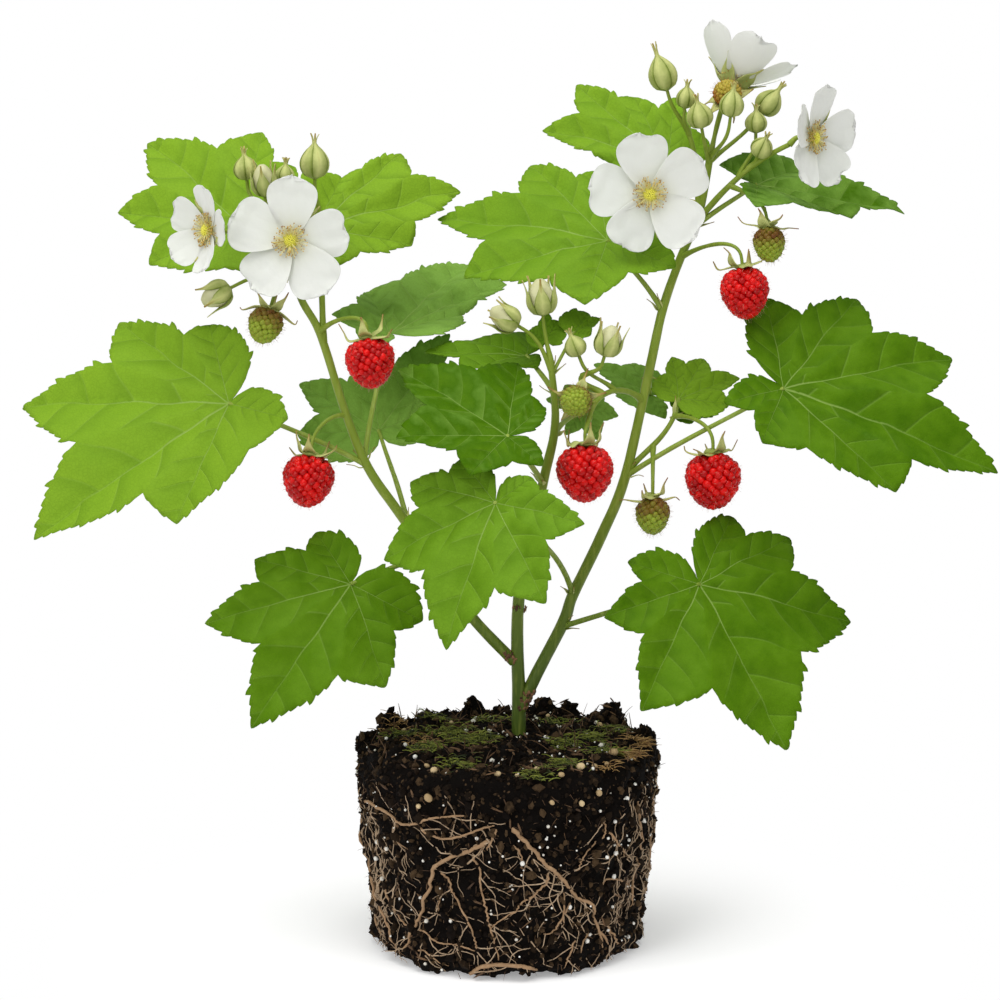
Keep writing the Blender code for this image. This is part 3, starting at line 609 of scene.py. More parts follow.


# %% [markdown]
# ## Leaves
#
# Each blade is drawn flat first: a midrib for every lobe from the petiole's end to the lobe's tip,
# and an outline that swells from each dip to each tip in saw teeth which point to the tip. The flat
# outline is filled with small triangles that keep the midribs as edges, then each point is raised:
# veins are pressed in, the blade puffs up between them, lobes droop and margins ripple. Last it is
# put on the rough leaf's own plane.

# %% Where the leaves are
# The petiole's foot and bow, where it meets the blade, the way that the blade's upper side faces, how
# far the middle lobe's tip sags, how deep and then blue its green is, partly the leaf's own green and
# partly painted light and shade, from 0 for a leaf in full light to 1 at the back, and the lobes' tips
# as (right, up), the middle lobe's first.
Leaf = namedtuple("Leaf", "on where bow at facing sag green tips")
LEAVES = rows_of(Leaf, {
    "leaf_left": (
        "cane_left", 208, 0.1, (-115, -15, 235), (-0.2, -0.75, 0.6), 8, 0.12,
        [(-195, 180), (-205, 230), (-165, 265), (-125, 265), (-90, 230), (-135, 190)]),
    "leaf_lower_left": (
        "cane_left", 170, 0.0, (-65, -20, 160), (0.1, -0.9, 0.45), 6, 0.58,
        [(-105, 105), (-125, 145), (-105, 170), (-80, 180), (-35, 145), (-50, 120)]),
    "leaf_lower_right": (
        "cane_right", 136, 0.0, (80, -20, 160), (0.3, -0.8, 0.55), 7, 0.63,
        [(115, 95), (145, 140), (120, 175), (95, 185), (50, 170), (40, 150), (55, 115)]),
    "leaf_right": (
        "cane_right", 200, 0.1, (115, -5, 240), (0.15, -0.75, 0.65), 8, 0.65,
        [(205, 205), (190, 250), (150, 275), (110, 275), (90, 235), (105, 220), (160, 200)]),
    "leaf_front": (
        "cane_right", 150, 0.8, (-5, -55, 200), (-0.35, -0.75, 0.55), 6, 0.45,
        [(-25, 145), (-50, 175), (-40, 205), (-20, 215), (10, 210), (30, 195), (15, 165)]),
    "leaf_middle": (
        "cane_center", 200, 0.1, (0, -40, 225), (0.15, -0.65, 0.75), 4, 0.74,
        [(-45, 225), (-45, 250), (5, 252), (15, 235), (14, 214), (-15, 212)]),
    "leaf_upper_left": (
        "cane_left", 298, 0.0, (-110, 15, 305), (-0.1, -0.8, 0.6), 5, 0.1,
        [(-165, 310), (-155, 340), (-105, 345), (-90, 330), (-95, 290), (-150, 290)]),
    "leaf_crown_left": (
        "cane_left", 293, 0.2, (-80, 14, 305), (0.3, -0.75, 0.6), 5, 0.0,
        [(-20, 318), (-45, 335), (-70, 325), (-70, 290), (-40, 297)]),
    "leaf_behind_left": (
        "cane_left", 210, 0.6, (-50, 25, 260), (0.1, -0.4, 0.9), 6, 1.0,
        [(0, 275), (-15, 285), (-60, 275), (-75, 266), (-60, 256), (-20, 265)]),
    "leaf_back_left": (
        "cane_left", 182, 0.4, (-55, 32, 217), (0, -0.8, 0.6), 5, 1.0,
        [(-25, 255), (-60, 245), (-90, 235), (-90, 215), (-30, 225)]),
    "leaf_inner": (
        "cane_center", 238, 0.2, (8, 10, 252), (-0.05, -0.4, 0.9), 3, 0.5,
        [(-35, 252), (-15, 257), (10, 260), (12, 248), (-20, 247)]),
    "leaf_back_middle": (
        "cane_right", 243, 0.0, (62, 45, 231), (-0.1, -0.65, 0.75), 3, 1.0,
        [(38, 242), (54, 243), (70, 232), (68, 222), (46, 232)]),
    "leaf_side_shoot": (
        "shoot_right", 1.0, 0.3, (73, 22, 232), (0.1, -0.65, 0.75), 3, 0.0,
        [(100, 239), (85, 247), (71, 248), (64, 240), (94, 229)]),
    "leaf_back_low": (
        "cane_center", 220, 0.3, (33, 35, 226), (0, -0.75, 0.65), 3, 1.0,
        [(48, 223), (41, 233), (25, 236), (17, 230), (25, 216), (39, 214)]),
    "leaf_top_left": (
        "cane_right", 304, 0.4, (68, 40, 331), (-0.1, -0.8, 0.6), 4, 0.18,
        [(15, 345), (30, 363), (55, 358), (73, 358), (86, 340), (45, 330)]),
    "leaf_upper_middle": (
        "cane_right", 270, 0.3, (42, 15, 300), (-0.1, -0.7, 0.7), 7, 0.3,
        [(-30, 308), (10, 330), (38, 328), (70, 290), (32, 275), (-18, 284)]),
    "leaf_top_right": (
        "cane_right", 305, 0.1, (105, 21, 323), (0.25, -0.4, 0.9), 5, 0.86,
        [(170, 309), (130, 330), (90, 331), (103, 315), (145, 309)]),
    "leaflet_middle": (
        "cane_center", 250, 0.6, (16, 0, 259), (-0.1, -0.75, 0.65), 1, 0.4,
        [(17, 270), (21, 267), (9, 263)]),
    "leaflet_tip": (
        "cane_center", 246, 0.0, (28, 0, 263), (0, -0.6, 0.8), 1, 0.3,
        [(39, 268), (34, 270), (35, 262)]),
    "leaflet_side": (
        "shoot_right", 0.95, 0.0, (73, 24, 226), (0.1, -0.65, 0.75), 1, 0.5,
        [(88, 224), (80, 230), (79, 222)]),
})
def tip_place(row, tip):
    """Where a lobe's tip is in the blade's flat plane, for it to stand at (right, up) once sagged."""
    at, normal = Vector(row.at), Vector(row.facing).normalized()
    share = (math.dist(tip, (at.x, at.z)) / math.dist(row.tips[0], (at.x, at.z))) ** 2
    right = tip[0] - at.x + row.sag * share * normal.x
    up = tip[1] - at.z + row.sag * share * normal.z
    back = -(normal.x * right + normal.z * up) / normal.y
    return at + Vector((right, back, up))


def leaf_axes(row):
    """(towards the middle lobe's tip, to its left, out of the upper side)."""
    normal = Vector(row.facing).normalized()
    along = (tip_place(row, row.tips[0]) - Vector(row.at)).normalized()
    return along, normal.cross(along), normal


def leaf_lobes(row):
    """Every lobe as (angle from the middle lobe, reach)."""
    along, left, _ = leaf_axes(row)
    outs = [tip_place(row, tip) - Vector(row.at) for tip in row.tips]
    return [(math.degrees(math.atan2(out.dot(left), out.dot(along))), out.length) for out in outs]


# %% A blade's flat outline
TOOTH = 4.2          # a tooth's length along the margin, in mm
TOOTH_STANDS = 1.05  # how far a tooth stands out
COARSE = 4           # every so many teeth, one is coarse
TOOTH_SHAPE = ((0.0, 0.0), (0.25, 0.5), (0.55, 0.88), (0.82, 1.0))  # (way along, share of the height)
DIP_SHARE = 0.68     # a dip's reach as a share of its two lobes' reach
WIDE_GAP = 36.0      # lobes closer together than this, in degrees, have shallower dips between them
FULLNESS = (0.13, 0.03)  # how far a lobe's side swells near the dip and near the tip
BASE_POWER = 0.7     # how fully the blade swells beside the petiole
SIDE_POINTS = 24
TOOTH_LEAN = 0.35    # how far a tooth leans towards the tip, for each step out
SHORT_SIDE = 38      # a side shorter than this has smaller teeth, in mm
COARSE_HEIGHT, FINE_HEIGHT = 2.0, 0.75
HEIGHT_VARIES = (0.75, 1.2)
DIP_BARE, HEEL_BARE = 0.1, 0.3  # the share of a side without teeth, next to a dip and to the petiole


def polar(degrees, reach):
    angle = math.radians(degrees)
    return Vector((reach * math.cos(angle), reach * math.sin(angle)))


def toothed(side, outward, rng, bare):
    """The side's points from a dip or the petiole to a tip, with saw teeth that point to the tip."""
    lengths = np.cumsum([0] + [(b - a).length for a, b in zip(side, side[1:])])
    total = lengths[-1]
    count = max(3, round(total / TOOTH))
    size = min(1.0, total / SHORT_SIDE) * TOOTH_STANDS
    coarse_at = rng.randrange(COARSE)
    points = []
    for index in range(count):
        coarse = COARSE_HEIGHT if index % COARSE == coarse_at else FINE_HEIGHT
        height = size * coarse * rng.uniform(*HEIGHT_VARIES)
        for way, share in TOOTH_SHAPE:
            at = (index + way) / count
            if at < bare and way > 0:
                continue
            place = at * total
            k = min(int(np.searchsorted(lengths, place, "right")) - 1, len(side) - 2)
            a, b = side[k], side[k + 1]
            on = a.lerp(b, (place - lengths[k]) / max(lengths[k + 1] - lengths[k], 1e-9))
            along = (b - a).normalized()
            across = Vector((along.y, -along.x)) * outward
            lower_at_tip = min(1.0, (1 - at) * 4 + 0.2)
            points.append(on + (across * share + along * TOOTH_LEAN * share) * height * lower_at_tip)
    return points


def lobe_side(dip, angle, reach, side):
    """The slightly swollen curve from a dip to a lobe's tip."""
    tip = polar(angle, reach)
    chord = tip - dip
    outward = Vector((-chord.y, chord.x)) * side
    near = dip + chord * 0.3 + outward * FULLNESS[0]
    far = tip - chord * 0.3 + outward * FULLNESS[1]
    return [bezier(dip, near, far, tip, step / SIDE_POINTS) for step in range(SIDE_POINTS + 1)]


def base_side(half_gap, angle, reach, side):
    """The curve from the petiole to an outer lobe's tip, round the gap at the blade's base."""
    found = []
    for step in range(SIDE_POINTS + 1):
        way = 1 - step / SIDE_POINTS
        found.append(polar(angle + side * half_gap * way, reach * (1 - way) ** BASE_POWER))
    return found


def blade_outline(lobes, rng):
    """The margin's points counter-clockwise, and the lobes and the dips after them in that order."""
    ordered = sorted(lobes)
    last = len(ordered) - 1
    dips = []
    for (a, ra), (b, rb) in zip(ordered, ordered[1:]):
        kept = 1 - (1 - DIP_SHARE) * min(1.0, (b - a) / WIDE_GAP)
        dips.append(polar((a + b) / 2, (ra + rb) / 2 * kept))
    half_gap = (360 - ordered[-1][0] + ordered[0][0]) / 2
    margin = []
    for index, (angle, reach) in enumerate(ordered):
        both = []
        for side, dip in ((-1, index - 1), (1, index)):
            if 0 <= dip < last:
                both.append(toothed(lobe_side(dips[dip], angle, reach, side), -side, rng, DIP_BARE))
            else:
                both.append(toothed(base_side(half_gap, angle, reach, side), -side, rng, HEEL_BARE))
        rise, fall = both
        margin += [*rise, polar(angle, reach), *fall[:0:-1]]
        if index < last:
            margin.append(dips[index].copy())
    return margin, ordered, dips


# %% Fill a blade with small triangles
BLADE_STEP = 2.4  # the triangles' size inside a blade, in mm
SMALL_BLADE_STEP = 1.3
SMALL_LEAF = 40   # the middle lobe's reach below which a leaf counts as small
ROW_STEP = 0.87   # the height of an even triangle
LOOSE = 0.2       # how far a point may stray from its even place
CLEAR = 0.55      # how close to an edge an inner point may be


def inside(points, margin):
    """Which of these points are inside the closed margin."""
    hits = np.zeros(len(points), bool)
    x, y = points[:, 0], points[:, 1]
    for a, b in zip(margin, [*margin[1:], margin[0]]):
        if a.y == b.y:
            continue
        crosses = (a.y > y) != (b.y > y)
        hits ^= crosses & (x < (b.x - a.x) * (y - a.y) / (b.y - a.y) + a.x)
    return hits


def fill_blade(margin, ordered, dips, step, rng):
    """Points and triangles of the flat blade, with midribs and lobe borders as edges."""
    points = [p.copy() for p in margin]
    edges = [(i, (i + 1) % len(margin)) for i in range(len(margin))]
    centre = len(points)
    points.append(Vector((0, 0)))
    for target in [polar(*lobe) for lobe in ordered] + dips:
        last = centre
        count = max(2, round(target.length / step))
        end = min(range(len(margin)), key=lambda i: (margin[i] - target).length)
        for i in range(1, count):
            points.append(target * (i / count))
            edges.append((last, len(points) - 1))
            last = len(points) - 1
        edges.append((last, end))
    reach = max(r for _, r in ordered) * 1.1
    grid = []
    for j in range(int(2 * reach / (step * ROW_STEP)) + 1):
        for i in range(int(2 * reach / step) + 1):
            x = -reach + (i + 0.5 * (j % 2)) * step + rng.uniform(-LOOSE, LOOSE) * step
            grid.append((x, -reach + j * step * ROW_STEP + rng.uniform(-LOOSE, LOOSE) * step))
    grid = np.array(grid)
    grid = grid[inside(grid, margin)]
    across, up = [grid[:, None, k] - np.array(points)[None, :, k] for k in (0, 1)]
    near = np.min(np.hypot(across, up), axis=1)
    points += [Vector(p) for p in grid[near > CLEAR * step]]
    flat, _, faces, *_ = delaunay_2d_cdt(points, edges, [list(range(len(margin)))], 1, 1e-4)
    return [Vector(p) for p in flat], [tuple(f) for f in faces]


# %% [markdown]
# A leaf's finish follows its veins. Every triangle's corners carry the lobe's own coordinates in a
# UV map: U runs along the midrib from 0 at the petiole to 1 at the tip, and V runs across it. The
# side veins are then lines that leave the midrib at an even spacing and curve towards the tip, the
# same formula in the shader and in the puffed relief. A fine net of cells fills what lies between,
# and the far side of each puff between side veins is darkened with a painted shade.

# %% Leaf finishes
VEIN_STEP = 0.22     # the side veins' spacing along the midrib, as a share of the lobe
VEIN_SLOPE = 0.62    # how far a side vein runs forward for each step across
VEIN_CURL = 0.9      # how much it curves forward
VEIN_HALF = 0.045    # half of a side vein's width, as a share of the veins' spacing
MIDRIB_HALF = 0.0065  # half of the midrib's width, as a share of the lobe's length
VEINS_REACH = (0.12, 0.30)  # how far out side veins begin to fade and are gone, as shares of the lobe


def vein_lines(tree, along, across):
    """(side veins, midrib, painted shade): 1 on a line, falling to 0 beside it; then a painted shade across
    each puff.
    """
    wide = calculate(tree, "ABSOLUTE", across)
    start = weighed_sum(tree, (along, 1.0), (wide, -VEIN_SLOPE),
                        (calculate(tree, "MULTIPLY", wide, wide), -VEIN_CURL))
    left = calculate(tree, "GREATER_THAN", across, 0.0)
    phase = calculate(tree, "FRACT", weighed_sum(tree, (start, 1 / VEIN_STEP), (left, 0.5)))
    past_middle = calculate(tree, "SUBTRACT", phase, 0.5)
    side_vein = spread(tree, calculate(tree, "ABSOLUTE", past_middle), 0.5 - VEIN_HALF, 0.5)
    fading = spread(tree, wide, VEINS_REACH[1], VEINS_REACH[0])
    inner = calculate(tree, "MULTIPLY", spread(tree, start, 0.0, 0.03), fading)
    which_side = calculate(tree, "MULTIPLY_ADD", left, 2.0, -1.0)
    slope_shade = calculate(tree, "MULTIPLY", which_side, past_middle)
    return (calculate(tree, "MULTIPLY", side_vein, inner), spread(tree, wide, MIDRIB_HALF, 0.001),
            calculate(tree, "MULTIPLY", slope_shade, inner))


LEAF_STOPS = (0.0, 0.4, 0.62, 0.75, 1.0)    # the depth of green at which each colour is reached
CELL_SCALE = 640
NET_SHOWS, NET_SHADE, NET_PRESSES = 0.16, 0.6, 0.3  # how much the net of cells colours, its dark, its depth
# Painted shade on the far side of each puff between side veins: how much it shows, and its dark.
SLOPE_SHADE_SHOWS, SLOPE_SHADE_DARK = 0.25, 0.62     # how much a puff's far slope shows, and its dark
SIDE_VEIN_SHOWS, MIDRIB_SHOWS = (0.17, 0.05), (0.6, 0.10)  # at the petiole's end and at the tip


def make_leaf_finish(name, greens, vein, roughness, relief):
    """greens go from the palest to the bluest; the relief is below 0 where veins are pressed in."""
    material, tree, shader, place = new_finish(name, roughness, Specular_IOR_Level=0.03)
    uv = add_node(tree, "ShaderNodeUVMap", uv_map="lobe").outputs[0]
    parts = add_node(tree, "ShaderNodeSeparateXYZ", {0: uv})
    side_veins, midrib, slope_shade = vein_lines(tree, parts.outputs[0], parts.outputs[1])
    clouds = calculate(tree, "SUBTRACT", speckle(tree, place, 38, 3), 0.5)
    mottle = calculate(tree, "SUBTRACT", speckle(tree, place, 170, 3), 0.5)
    # The painted shade also shifts the depth of green: paler on one side of each puff, deeper on the other.
    depth = weighed_sum(tree, (attribute(tree, "green"), 1.0), (slope_shade, 0.12), (clouds, 0.3), (mottle, 0.22))
    # The ramp's colour is each leaf's own green and its painted light and shade together.
    green = colour_ramp(tree, depth, *zip(LEAF_STOPS, greens))
    cells = add_node(tree, "ShaderNodeTexVoronoi", {"Vector": place, "Scale": CELL_SCALE},
                     feature="DISTANCE_TO_EDGE")
    net = spread(tree, cells.outputs[0], 0.14, 0.0)
    net_dark, slope_shade_colour = [tuple(shade * c for c in greens[1]) for shade in (NET_SHADE, SLOPE_SHADE_DARK)]
    netted = mix_colour(tree, calculate(tree, "MULTIPLY", net, NET_SHOWS), green, net_dark)
    # Painted shade: the far side of each puff between side veins is darkened.
    colour = mix_colour(tree, spread(tree, slope_shade, 0.1, 0.5, 0.0, SLOPE_SHADE_SHOWS), netted, slope_shade_colour)
    for line, start, shows in ((side_veins, 0.1, SIDE_VEIN_SHOWS), (midrib, 0.0, MIDRIB_SHOWS)):
        pale = calculate(tree, "MULTIPLY", line, spread(tree, parts.outputs[0], start, 0.9, *shows))
        colour = mix_colour(tree, pale, colour, vein)
    tree.links.new(colour, shader.inputs["Base Color"])
    lines = calculate(tree, "MAXIMUM", side_veins, midrib)
    puckers = speckle(tree, place, 330, 2)
    height = weighed_sum(tree, (lines, relief), (net, NET_PRESSES * relief), (puckers, 0.6))
    add_bump(tree, shader, height, 0.00028)
    return material


UPPER = make_leaf_finish(
    "leaf_upper",
    greens=((0.20, 0.355, 0.020), (0.135, 0.27, 0.014), (0.082, 0.186, 0.004), (0.047, 0.128, 0.001),
            (0.21, 0.38, 0.06)),
    vein=(0.30, 0.43, 0.11), roughness=0.45, relief=-0.45)
LOWER = make_leaf_finish(
    "leaf_lower",
    greens=((0.27, 0.42, 0.09), (0.24, 0.38, 0.09), (0.20, 0.33, 0.08), (0.17, 0.28, 0.08),
            (0.22, 0.36, 0.11)),
    vein=(0.38, 0.50, 0.18), roughness=0.6, relief=0.7)


# %% Stem finish
# Heights over which a stem goes from its darker colour below to its paler one above.
STEM_DARK_TO, STEM_PALE_FROM = 0.09, 0.22   # heights between which a stem's colour changes, in metres


def make_stem_finish(name, low, high, blush):
    """Green stems that are darker towards the bottom, with faint length-wise streaks."""
    material, tree, shader, place = new_finish(name, 0.45, Specular_IOR_Level=0.25)
    height = add_node(tree, "ShaderNodeSeparateXYZ", {0: place}).outputs[2]
    base = mix_colour(tree, spread(tree, height, STEM_DARK_TO, STEM_PALE_FROM), low, high)
    stretched = add_node(tree, "ShaderNodeMapping", {0: place, 3: (420, 420, 60)}).outputs[0]
    streaks = speckle(tree, stretched, 1.0, 2)
    streaked = mix_colour(tree, spread(tree, streaks, 0.45, 0.75, 0, 0.45), base, blush)
    tree.links.new(streaked, shader.inputs["Base Color"])
    add_bump(tree, shader, streaks, 0.0004, 0.6)
    return material


STEM = make_stem_finish(
    "green_stem", low=(0.070, 0.115, 0.012), high=(0.20, 0.28, 0.025), blush=(0.33, 0.38, 0.07))
PETIOLE = make_stem_finish(
    "petiole", low=(0.13, 0.20, 0.02), high=(0.24, 0.33, 0.04), blush=(0.38, 0.45, 0.12))

# %% [markdown]
# The relief is one height for each point of the flat blade. A real blade is pressed in along its
# veins and puffs up between them, and its lobes droop and twist a little on their own.

# %% Raise a blade and put it in place
PUFF = 0.55          # how far the blade puffs up between side veins, in mm
PUFF_ALONG, PUFF_ACROSS = 8, 9  # how quickly the puffs rise from the petiole and from the midrib
GROOVE = 0.7         # how deep the midribs are pressed in
FOLD = 0.28          # how steeply a blade rises from its midribs
RIPPLE = 1.8         # how far the margin ripples
SWELL = 2.2          # how far broad parts of the blade rise and sink
RIPPLE_SIZE, SWELL_SIZE = 17, 45
SWAY, SWAY_SIZE = 0.07, 21   # how unevenly the side veins are spaced, and over what distance
BEND, BEND_SIZE = 0.10, 16   # how far a midrib wanders
GROOVE_HALF = 1.6    # half of a groove's width
WHOLE_RELIEF = 60    # a lobe shorter than this has a lower relief
WHOLE_RIPPLE = 50    # a blade shorter than this ripples less
BLADE_THICK = 0.35


def leaf_matrix(row):
    """The blade's own frame: X to the middle lobe's tip, Z out of its upper side."""
    along, left, normal = leaf_axes(row)
    return Matrix.Translation(Vector(row.at)) @ Matrix((along, left, normal)).transposed().to_4x4()


def lobe_of(place, ordered, dips):
    """The lobe that a point belongs to: (its angle, its reach)."""
    angle = math.degrees(math.atan2(place.y, place.x))
    lowest = ordered[0][0] - 0.5 * (ordered[0][0] + 360 - ordered[-1][0])
    angle = lowest + (angle - lowest) % 360
    for lobe, dip in zip(ordered, dips):
        border = math.degrees(math.atan2(dip.y, dip.x))
        if angle < lowest + (border - lowest) % 360:
            return lobe
    return ordered[-1]


def flat_noise(place, size, seed):
    return noise.noise(Vector((place.x / size, place.y / size, seed)))


def lobe_place(place, lobe, seed):
    """(along, across) in a lobe's own coordinates, as shares of its reach, bent a little by chance."""
    turned = Matrix.Rotation(-math.radians(lobe[0]), 2) @ place
    along, across = turned.x / lobe[1], turned.y / lobe[1]
    sway = flat_noise(place, SWAY_SIZE, seed + 3)
    bend = flat_noise(place, BEND_SIZE, seed + 5)
    ends = max(0.0, along * (1 - along))
    return along + SWAY * sway * along, across + BEND * bend * ends


def blade_height(place, lobes, lobe, sag, seed):
    """A point's height over the flat blade, in millimetres."""
    along, across = lobe_place(place, lobe, seed)
    wide = abs(across)
    start = along - VEIN_SLOPE * wide - VEIN_CURL * wide * wide
    phase = (start / VEIN_STEP + 0.5 * (across > 0)) % 1
    puff = PUFF * math.sin(math.pi * phase) * min(1, max(0, start) * PUFF_ALONG)
    size = min(1, lobe[1] / WHOLE_RELIEF)
    near = math.exp(-(wide * lobe[1] / GROOVE_HALF) ** 2)
    longest = lobes[0][1]
    far = place.length / longest
    waves = RIPPLE * flat_noise(place, RIPPLE_SIZE, seed) + SWELL * flat_noise(place, SWELL_SIZE, seed + 7)
    return (-sag * far * far + puff * size * min(1, wide * PUFF_ACROSS) - GROOVE * near * size
            + FOLD * wide * lobe[1] + waves * far * min(1, longest / WHOLE_RIPPLE))


PETIOLE_RADII, LEAFLET_RADII = (1.25, 0.85), (0.8, 0.7)  # at the stem and at the blade


def make_leaf(name, row, index):
    rng = chance("leaf", index)
    lobes = leaf_lobes(row)
    seed = 3.1 * index
    margin, ordered, dips = blade_outline(lobes, rng)
    step = BLADE_STEP if lobes[0][1] > SMALL_LEAF else SMALL_BLADE_STEP
    flat, faces = fill_blade(margin, ordered, dips, step, rng)
    own = [lobe_of(place, ordered, dips) for place in flat]
    frame_matrix = leaf_matrix(row)
    bm = bmesh.new()
    for place, lobe in zip(flat, own):
        raised = Vector((place.x, place.y, blade_height(place, lobes, lobe, row.sag, seed)))
        bm.verts.new((frame_matrix @ raised) * MM)
    bm.verts.ensure_lookup_table()
    lobe_uv = bm.loops.layers.uv.new("lobe")
    for face in faces:
        made = bm.faces.new([bm.verts[i] for i in face])
        middle = sum((flat[i] for i in face), Vector((0, 0))) / 3
        lobe = lobe_of(middle, ordered, dips)
        for loop, i in zip(made.loops, face):
            loop[lobe_uv].uv = lobe_place(flat[i], lobe, seed)
    mesh = bpy.data.meshes.new(f"{name}_blade")
    bm.to_mesh(mesh)
    bm.free()
    # Each leaf's depth of green, partly its own green and partly painted light and shade.
    mesh.attributes.new("green", "FLOAT", "POINT").data.foreach_set("value", [row.green] * len(flat))
    mesh.shade_smooth()
    surface = object_of(f"{name}_blade", mesh, UPPER, LOWER)
    blade = thickened(surface, BLADE_THICK, offset=-1.0, back_finish=1)
    heel, joint = foot(row.on, row.where), Vector(row.at)
    radii = LEAFLET_RADII if name.startswith("leaflet") else PETIOLE_RADII
    path = tapered(curve_between(heel, joint, joint - heel, row.bow), *radii)
    petiole = make_tubes("petiole", [path], PETIOLE, sides=10, roughness=0.25)
    piece = join_pieces(f"{name}_blade", [blade, petiole])
    return keep_piece(piece, "leaf", name)


for leaf_index, (leaf_name, leaf_row) in enumerate(LEAVES.items()):
    make_leaf(leaf_name, leaf_row, leaf_index)

# %% [markdown]
# ## Canes and stalks
#
# The canes and all the stalks that grow from them are rebuilt as smooth tubes along the same routes,
# with a swelling where each stalk leaves its cane.

# %% Build the canes
SWELLING, SWELLING_LENGTH = 0.35, 5  # how much thicker a stalk's foot is, and over what length
SHOOT_RADII, FLOWER_RADII, STALK_RADII = (1.35, 1.0), (1.05, 0.8), (1.0, 0.7)  # at the foot and the end


def swollen(points, bottom, top):
    """A tapered tube that is thicker over its first few millimetres, where it leaves the cane."""
    points, radii = tapered(points, bottom, top)
    swells = [1 + SWELLING * math.exp(-((p - points[0]).length / SWELLING_LENGTH) ** 2) for p in points]
    return points, [radius * swell for radius, swell in zip(radii, swells)]


def make_cane(name, row):
    paths = [tapered(stem_points(name), row.bottom, row.top)]
    paths += [swollen(stem_points(shoot), *SHOOT_RADII) for shoot in SHOOTS if cane_of(shoot) == name]
    for carried in (*BERRIES.values(), *GREEN_BERRIES.values(), *BUDS.values()):
        if cane_of(carried.on) == name:
            paths.append(swollen(stalk_points(carried, carried.size[0] / 2), *STALK_RADII))
    for flower in FLOWERS.values():
        if cane_of(flower.on) == name:
            paths.append(swollen(stalk_points(flower, CALYX_DEPTH), *FLOWER_RADII))
    tubes = make_tubes(f"{name}_stems", paths, STEM, sides=12, roughness=0.35, lump=9.0)
    return keep_piece(tubes, "cane", name)


for cane_name, cane_row in CANES.items():
    make_cane(cane_name, cane_row)

# %% [markdown]
# ## Sepals
#
# The same narrow green blade stands under every flower, crowns every berry and wraps every bud. It
# follows a spine that is given as steps out from the piece's axis and along it, is widest in its
# lower third, and ends in the long thin tip that a thimbleberry's sepals have.

# %% Sepals
def make_sepal_finish():
    """Felted pale green, browner and redder towards the tip."""
    material, tree, shader, place = new_finish("sepal", 0.7, Specular_IOR_Level=0.2)
    tone = weighed_sum(tree, (attribute(tree, "tone"), 1.0), (speckle(tree, place, 260, 3), 0.35))
    colour = colour_ramp(tree, tone, (0.0, (0.15, 0.21, 0.02)), (0.45, (0.50, 0.53, 0.19)),
                         (0.75, (0.38, 0.32, 0.09)), (1.0, (0.27, 0.11, 0.04)))
    tree.links.new(colour, shader.inputs["Base Color"])
    add_bump(tree, shader, speckle(tree, place, 900, 2), 0.0003, 0.7)
    return material


SEPAL = make_sepal_finish()
# A sepal's half width at each share of its length.
SEPAL_SHAPE = ((0.0, 0.75), (0.15, 0.95), (0.3, 1.0), (0.45, 0.85), (0.6, 0.5), (0.75, 0.2), (1.0, 0.06))
SEPAL_ACROSS = (-1, -0.5, 0, 0.5, 1)
SEPAL_TWIST = 0.25    # how far its tip may turn, in radians
EDGE_TONE = 0.12


def sheet(name, parts, thick, finish, offset=0.0):
    """One thin closed mesh from parts, each a grid of points in millimetres and a grid of tones."""
    points, faces, values = [], [], []
    for grid, tone in parts:
        start, wide = len(points), len(grid[0])
        for i, (row, shades) in enumerate(zip(grid, tone)):
            points += [Vector(p) * MM for p in row]
            values += shades
            for j in range(wide - 1 if i else 0):
                a = start + (i - 1) * wide + j
                faces.append((a, a + 1, a + wide + 1, a + wide))
    mesh = bpy.data.meshes.new(name)
    mesh.from_pydata(points, [], faces)
    mesh.attributes.new("tone", "FLOAT", "POINT").data.foreach_set("value", values)
    mesh.shade_smooth()
    return thickened(object_of(name, mesh, finish), thick, offset)


def sepal_grid(matrix, angle, spine, width, rng, cup=0.25, tip_tone=0.8):
    """(points, tones) of one sepal; the spine is a list of (out from the axis, along the axis)."""
    path = smooth_path([Vector((r, 0, z)) for r, z in spine], 4)
    turn = Matrix.Rotation(math.radians(angle), 4, "Z")
    twist = rng.uniform(-SEPAL_TWIST, SEPAL_TWIST)
    points, tones = [], []
    for i, place in enumerate(path):
        t = i / (len(path) - 1)
        half = width * np.interp(t, *zip(*SEPAL_SHAPE))
        ahead = path[min(i + 1, len(path) - 1)] - path[max(i - 1, 0)]
        normal = Vector((-ahead.z, 0, ahead.x)).normalized()
        lean = twist * t * t
        across = Vector((0, 1, 0)) * math.cos(lean) + normal * math.sin(lean)
        row = [place + across * half * v + normal * cup * half * v * v for v in SEPAL_ACROSS]
        points.append([matrix @ (turn @ p) for p in row])
        tones.append([tip_tone * t**2 + EDGE_TONE * abs(v) for v in SEPAL_ACROSS])
    return points, tones


def jittered(spine, rng, amount=0.12):
    """The same spine with its further points moved a little, so that no two sepals match."""
    reach = max(r for r, _ in spine)
    moved = []
    for i, (r, z) in enumerate(spine):
        out, up = [rng.uniform(-amount, amount) * reach * (i > 0) for _ in range(2)]
        moved.append((r + out, z + up))
    return moved


# %% [markdown]
# ## Flowers
#
# Five broad petals, each a grid that widens quickly and closes in a rounded, slightly notched end.
# The crinkles run lengthwise, as in a petal that was folded in its bud. A dome of pistils sits in
# the middle with a ring of cream filaments around it, each with a small brown anther.

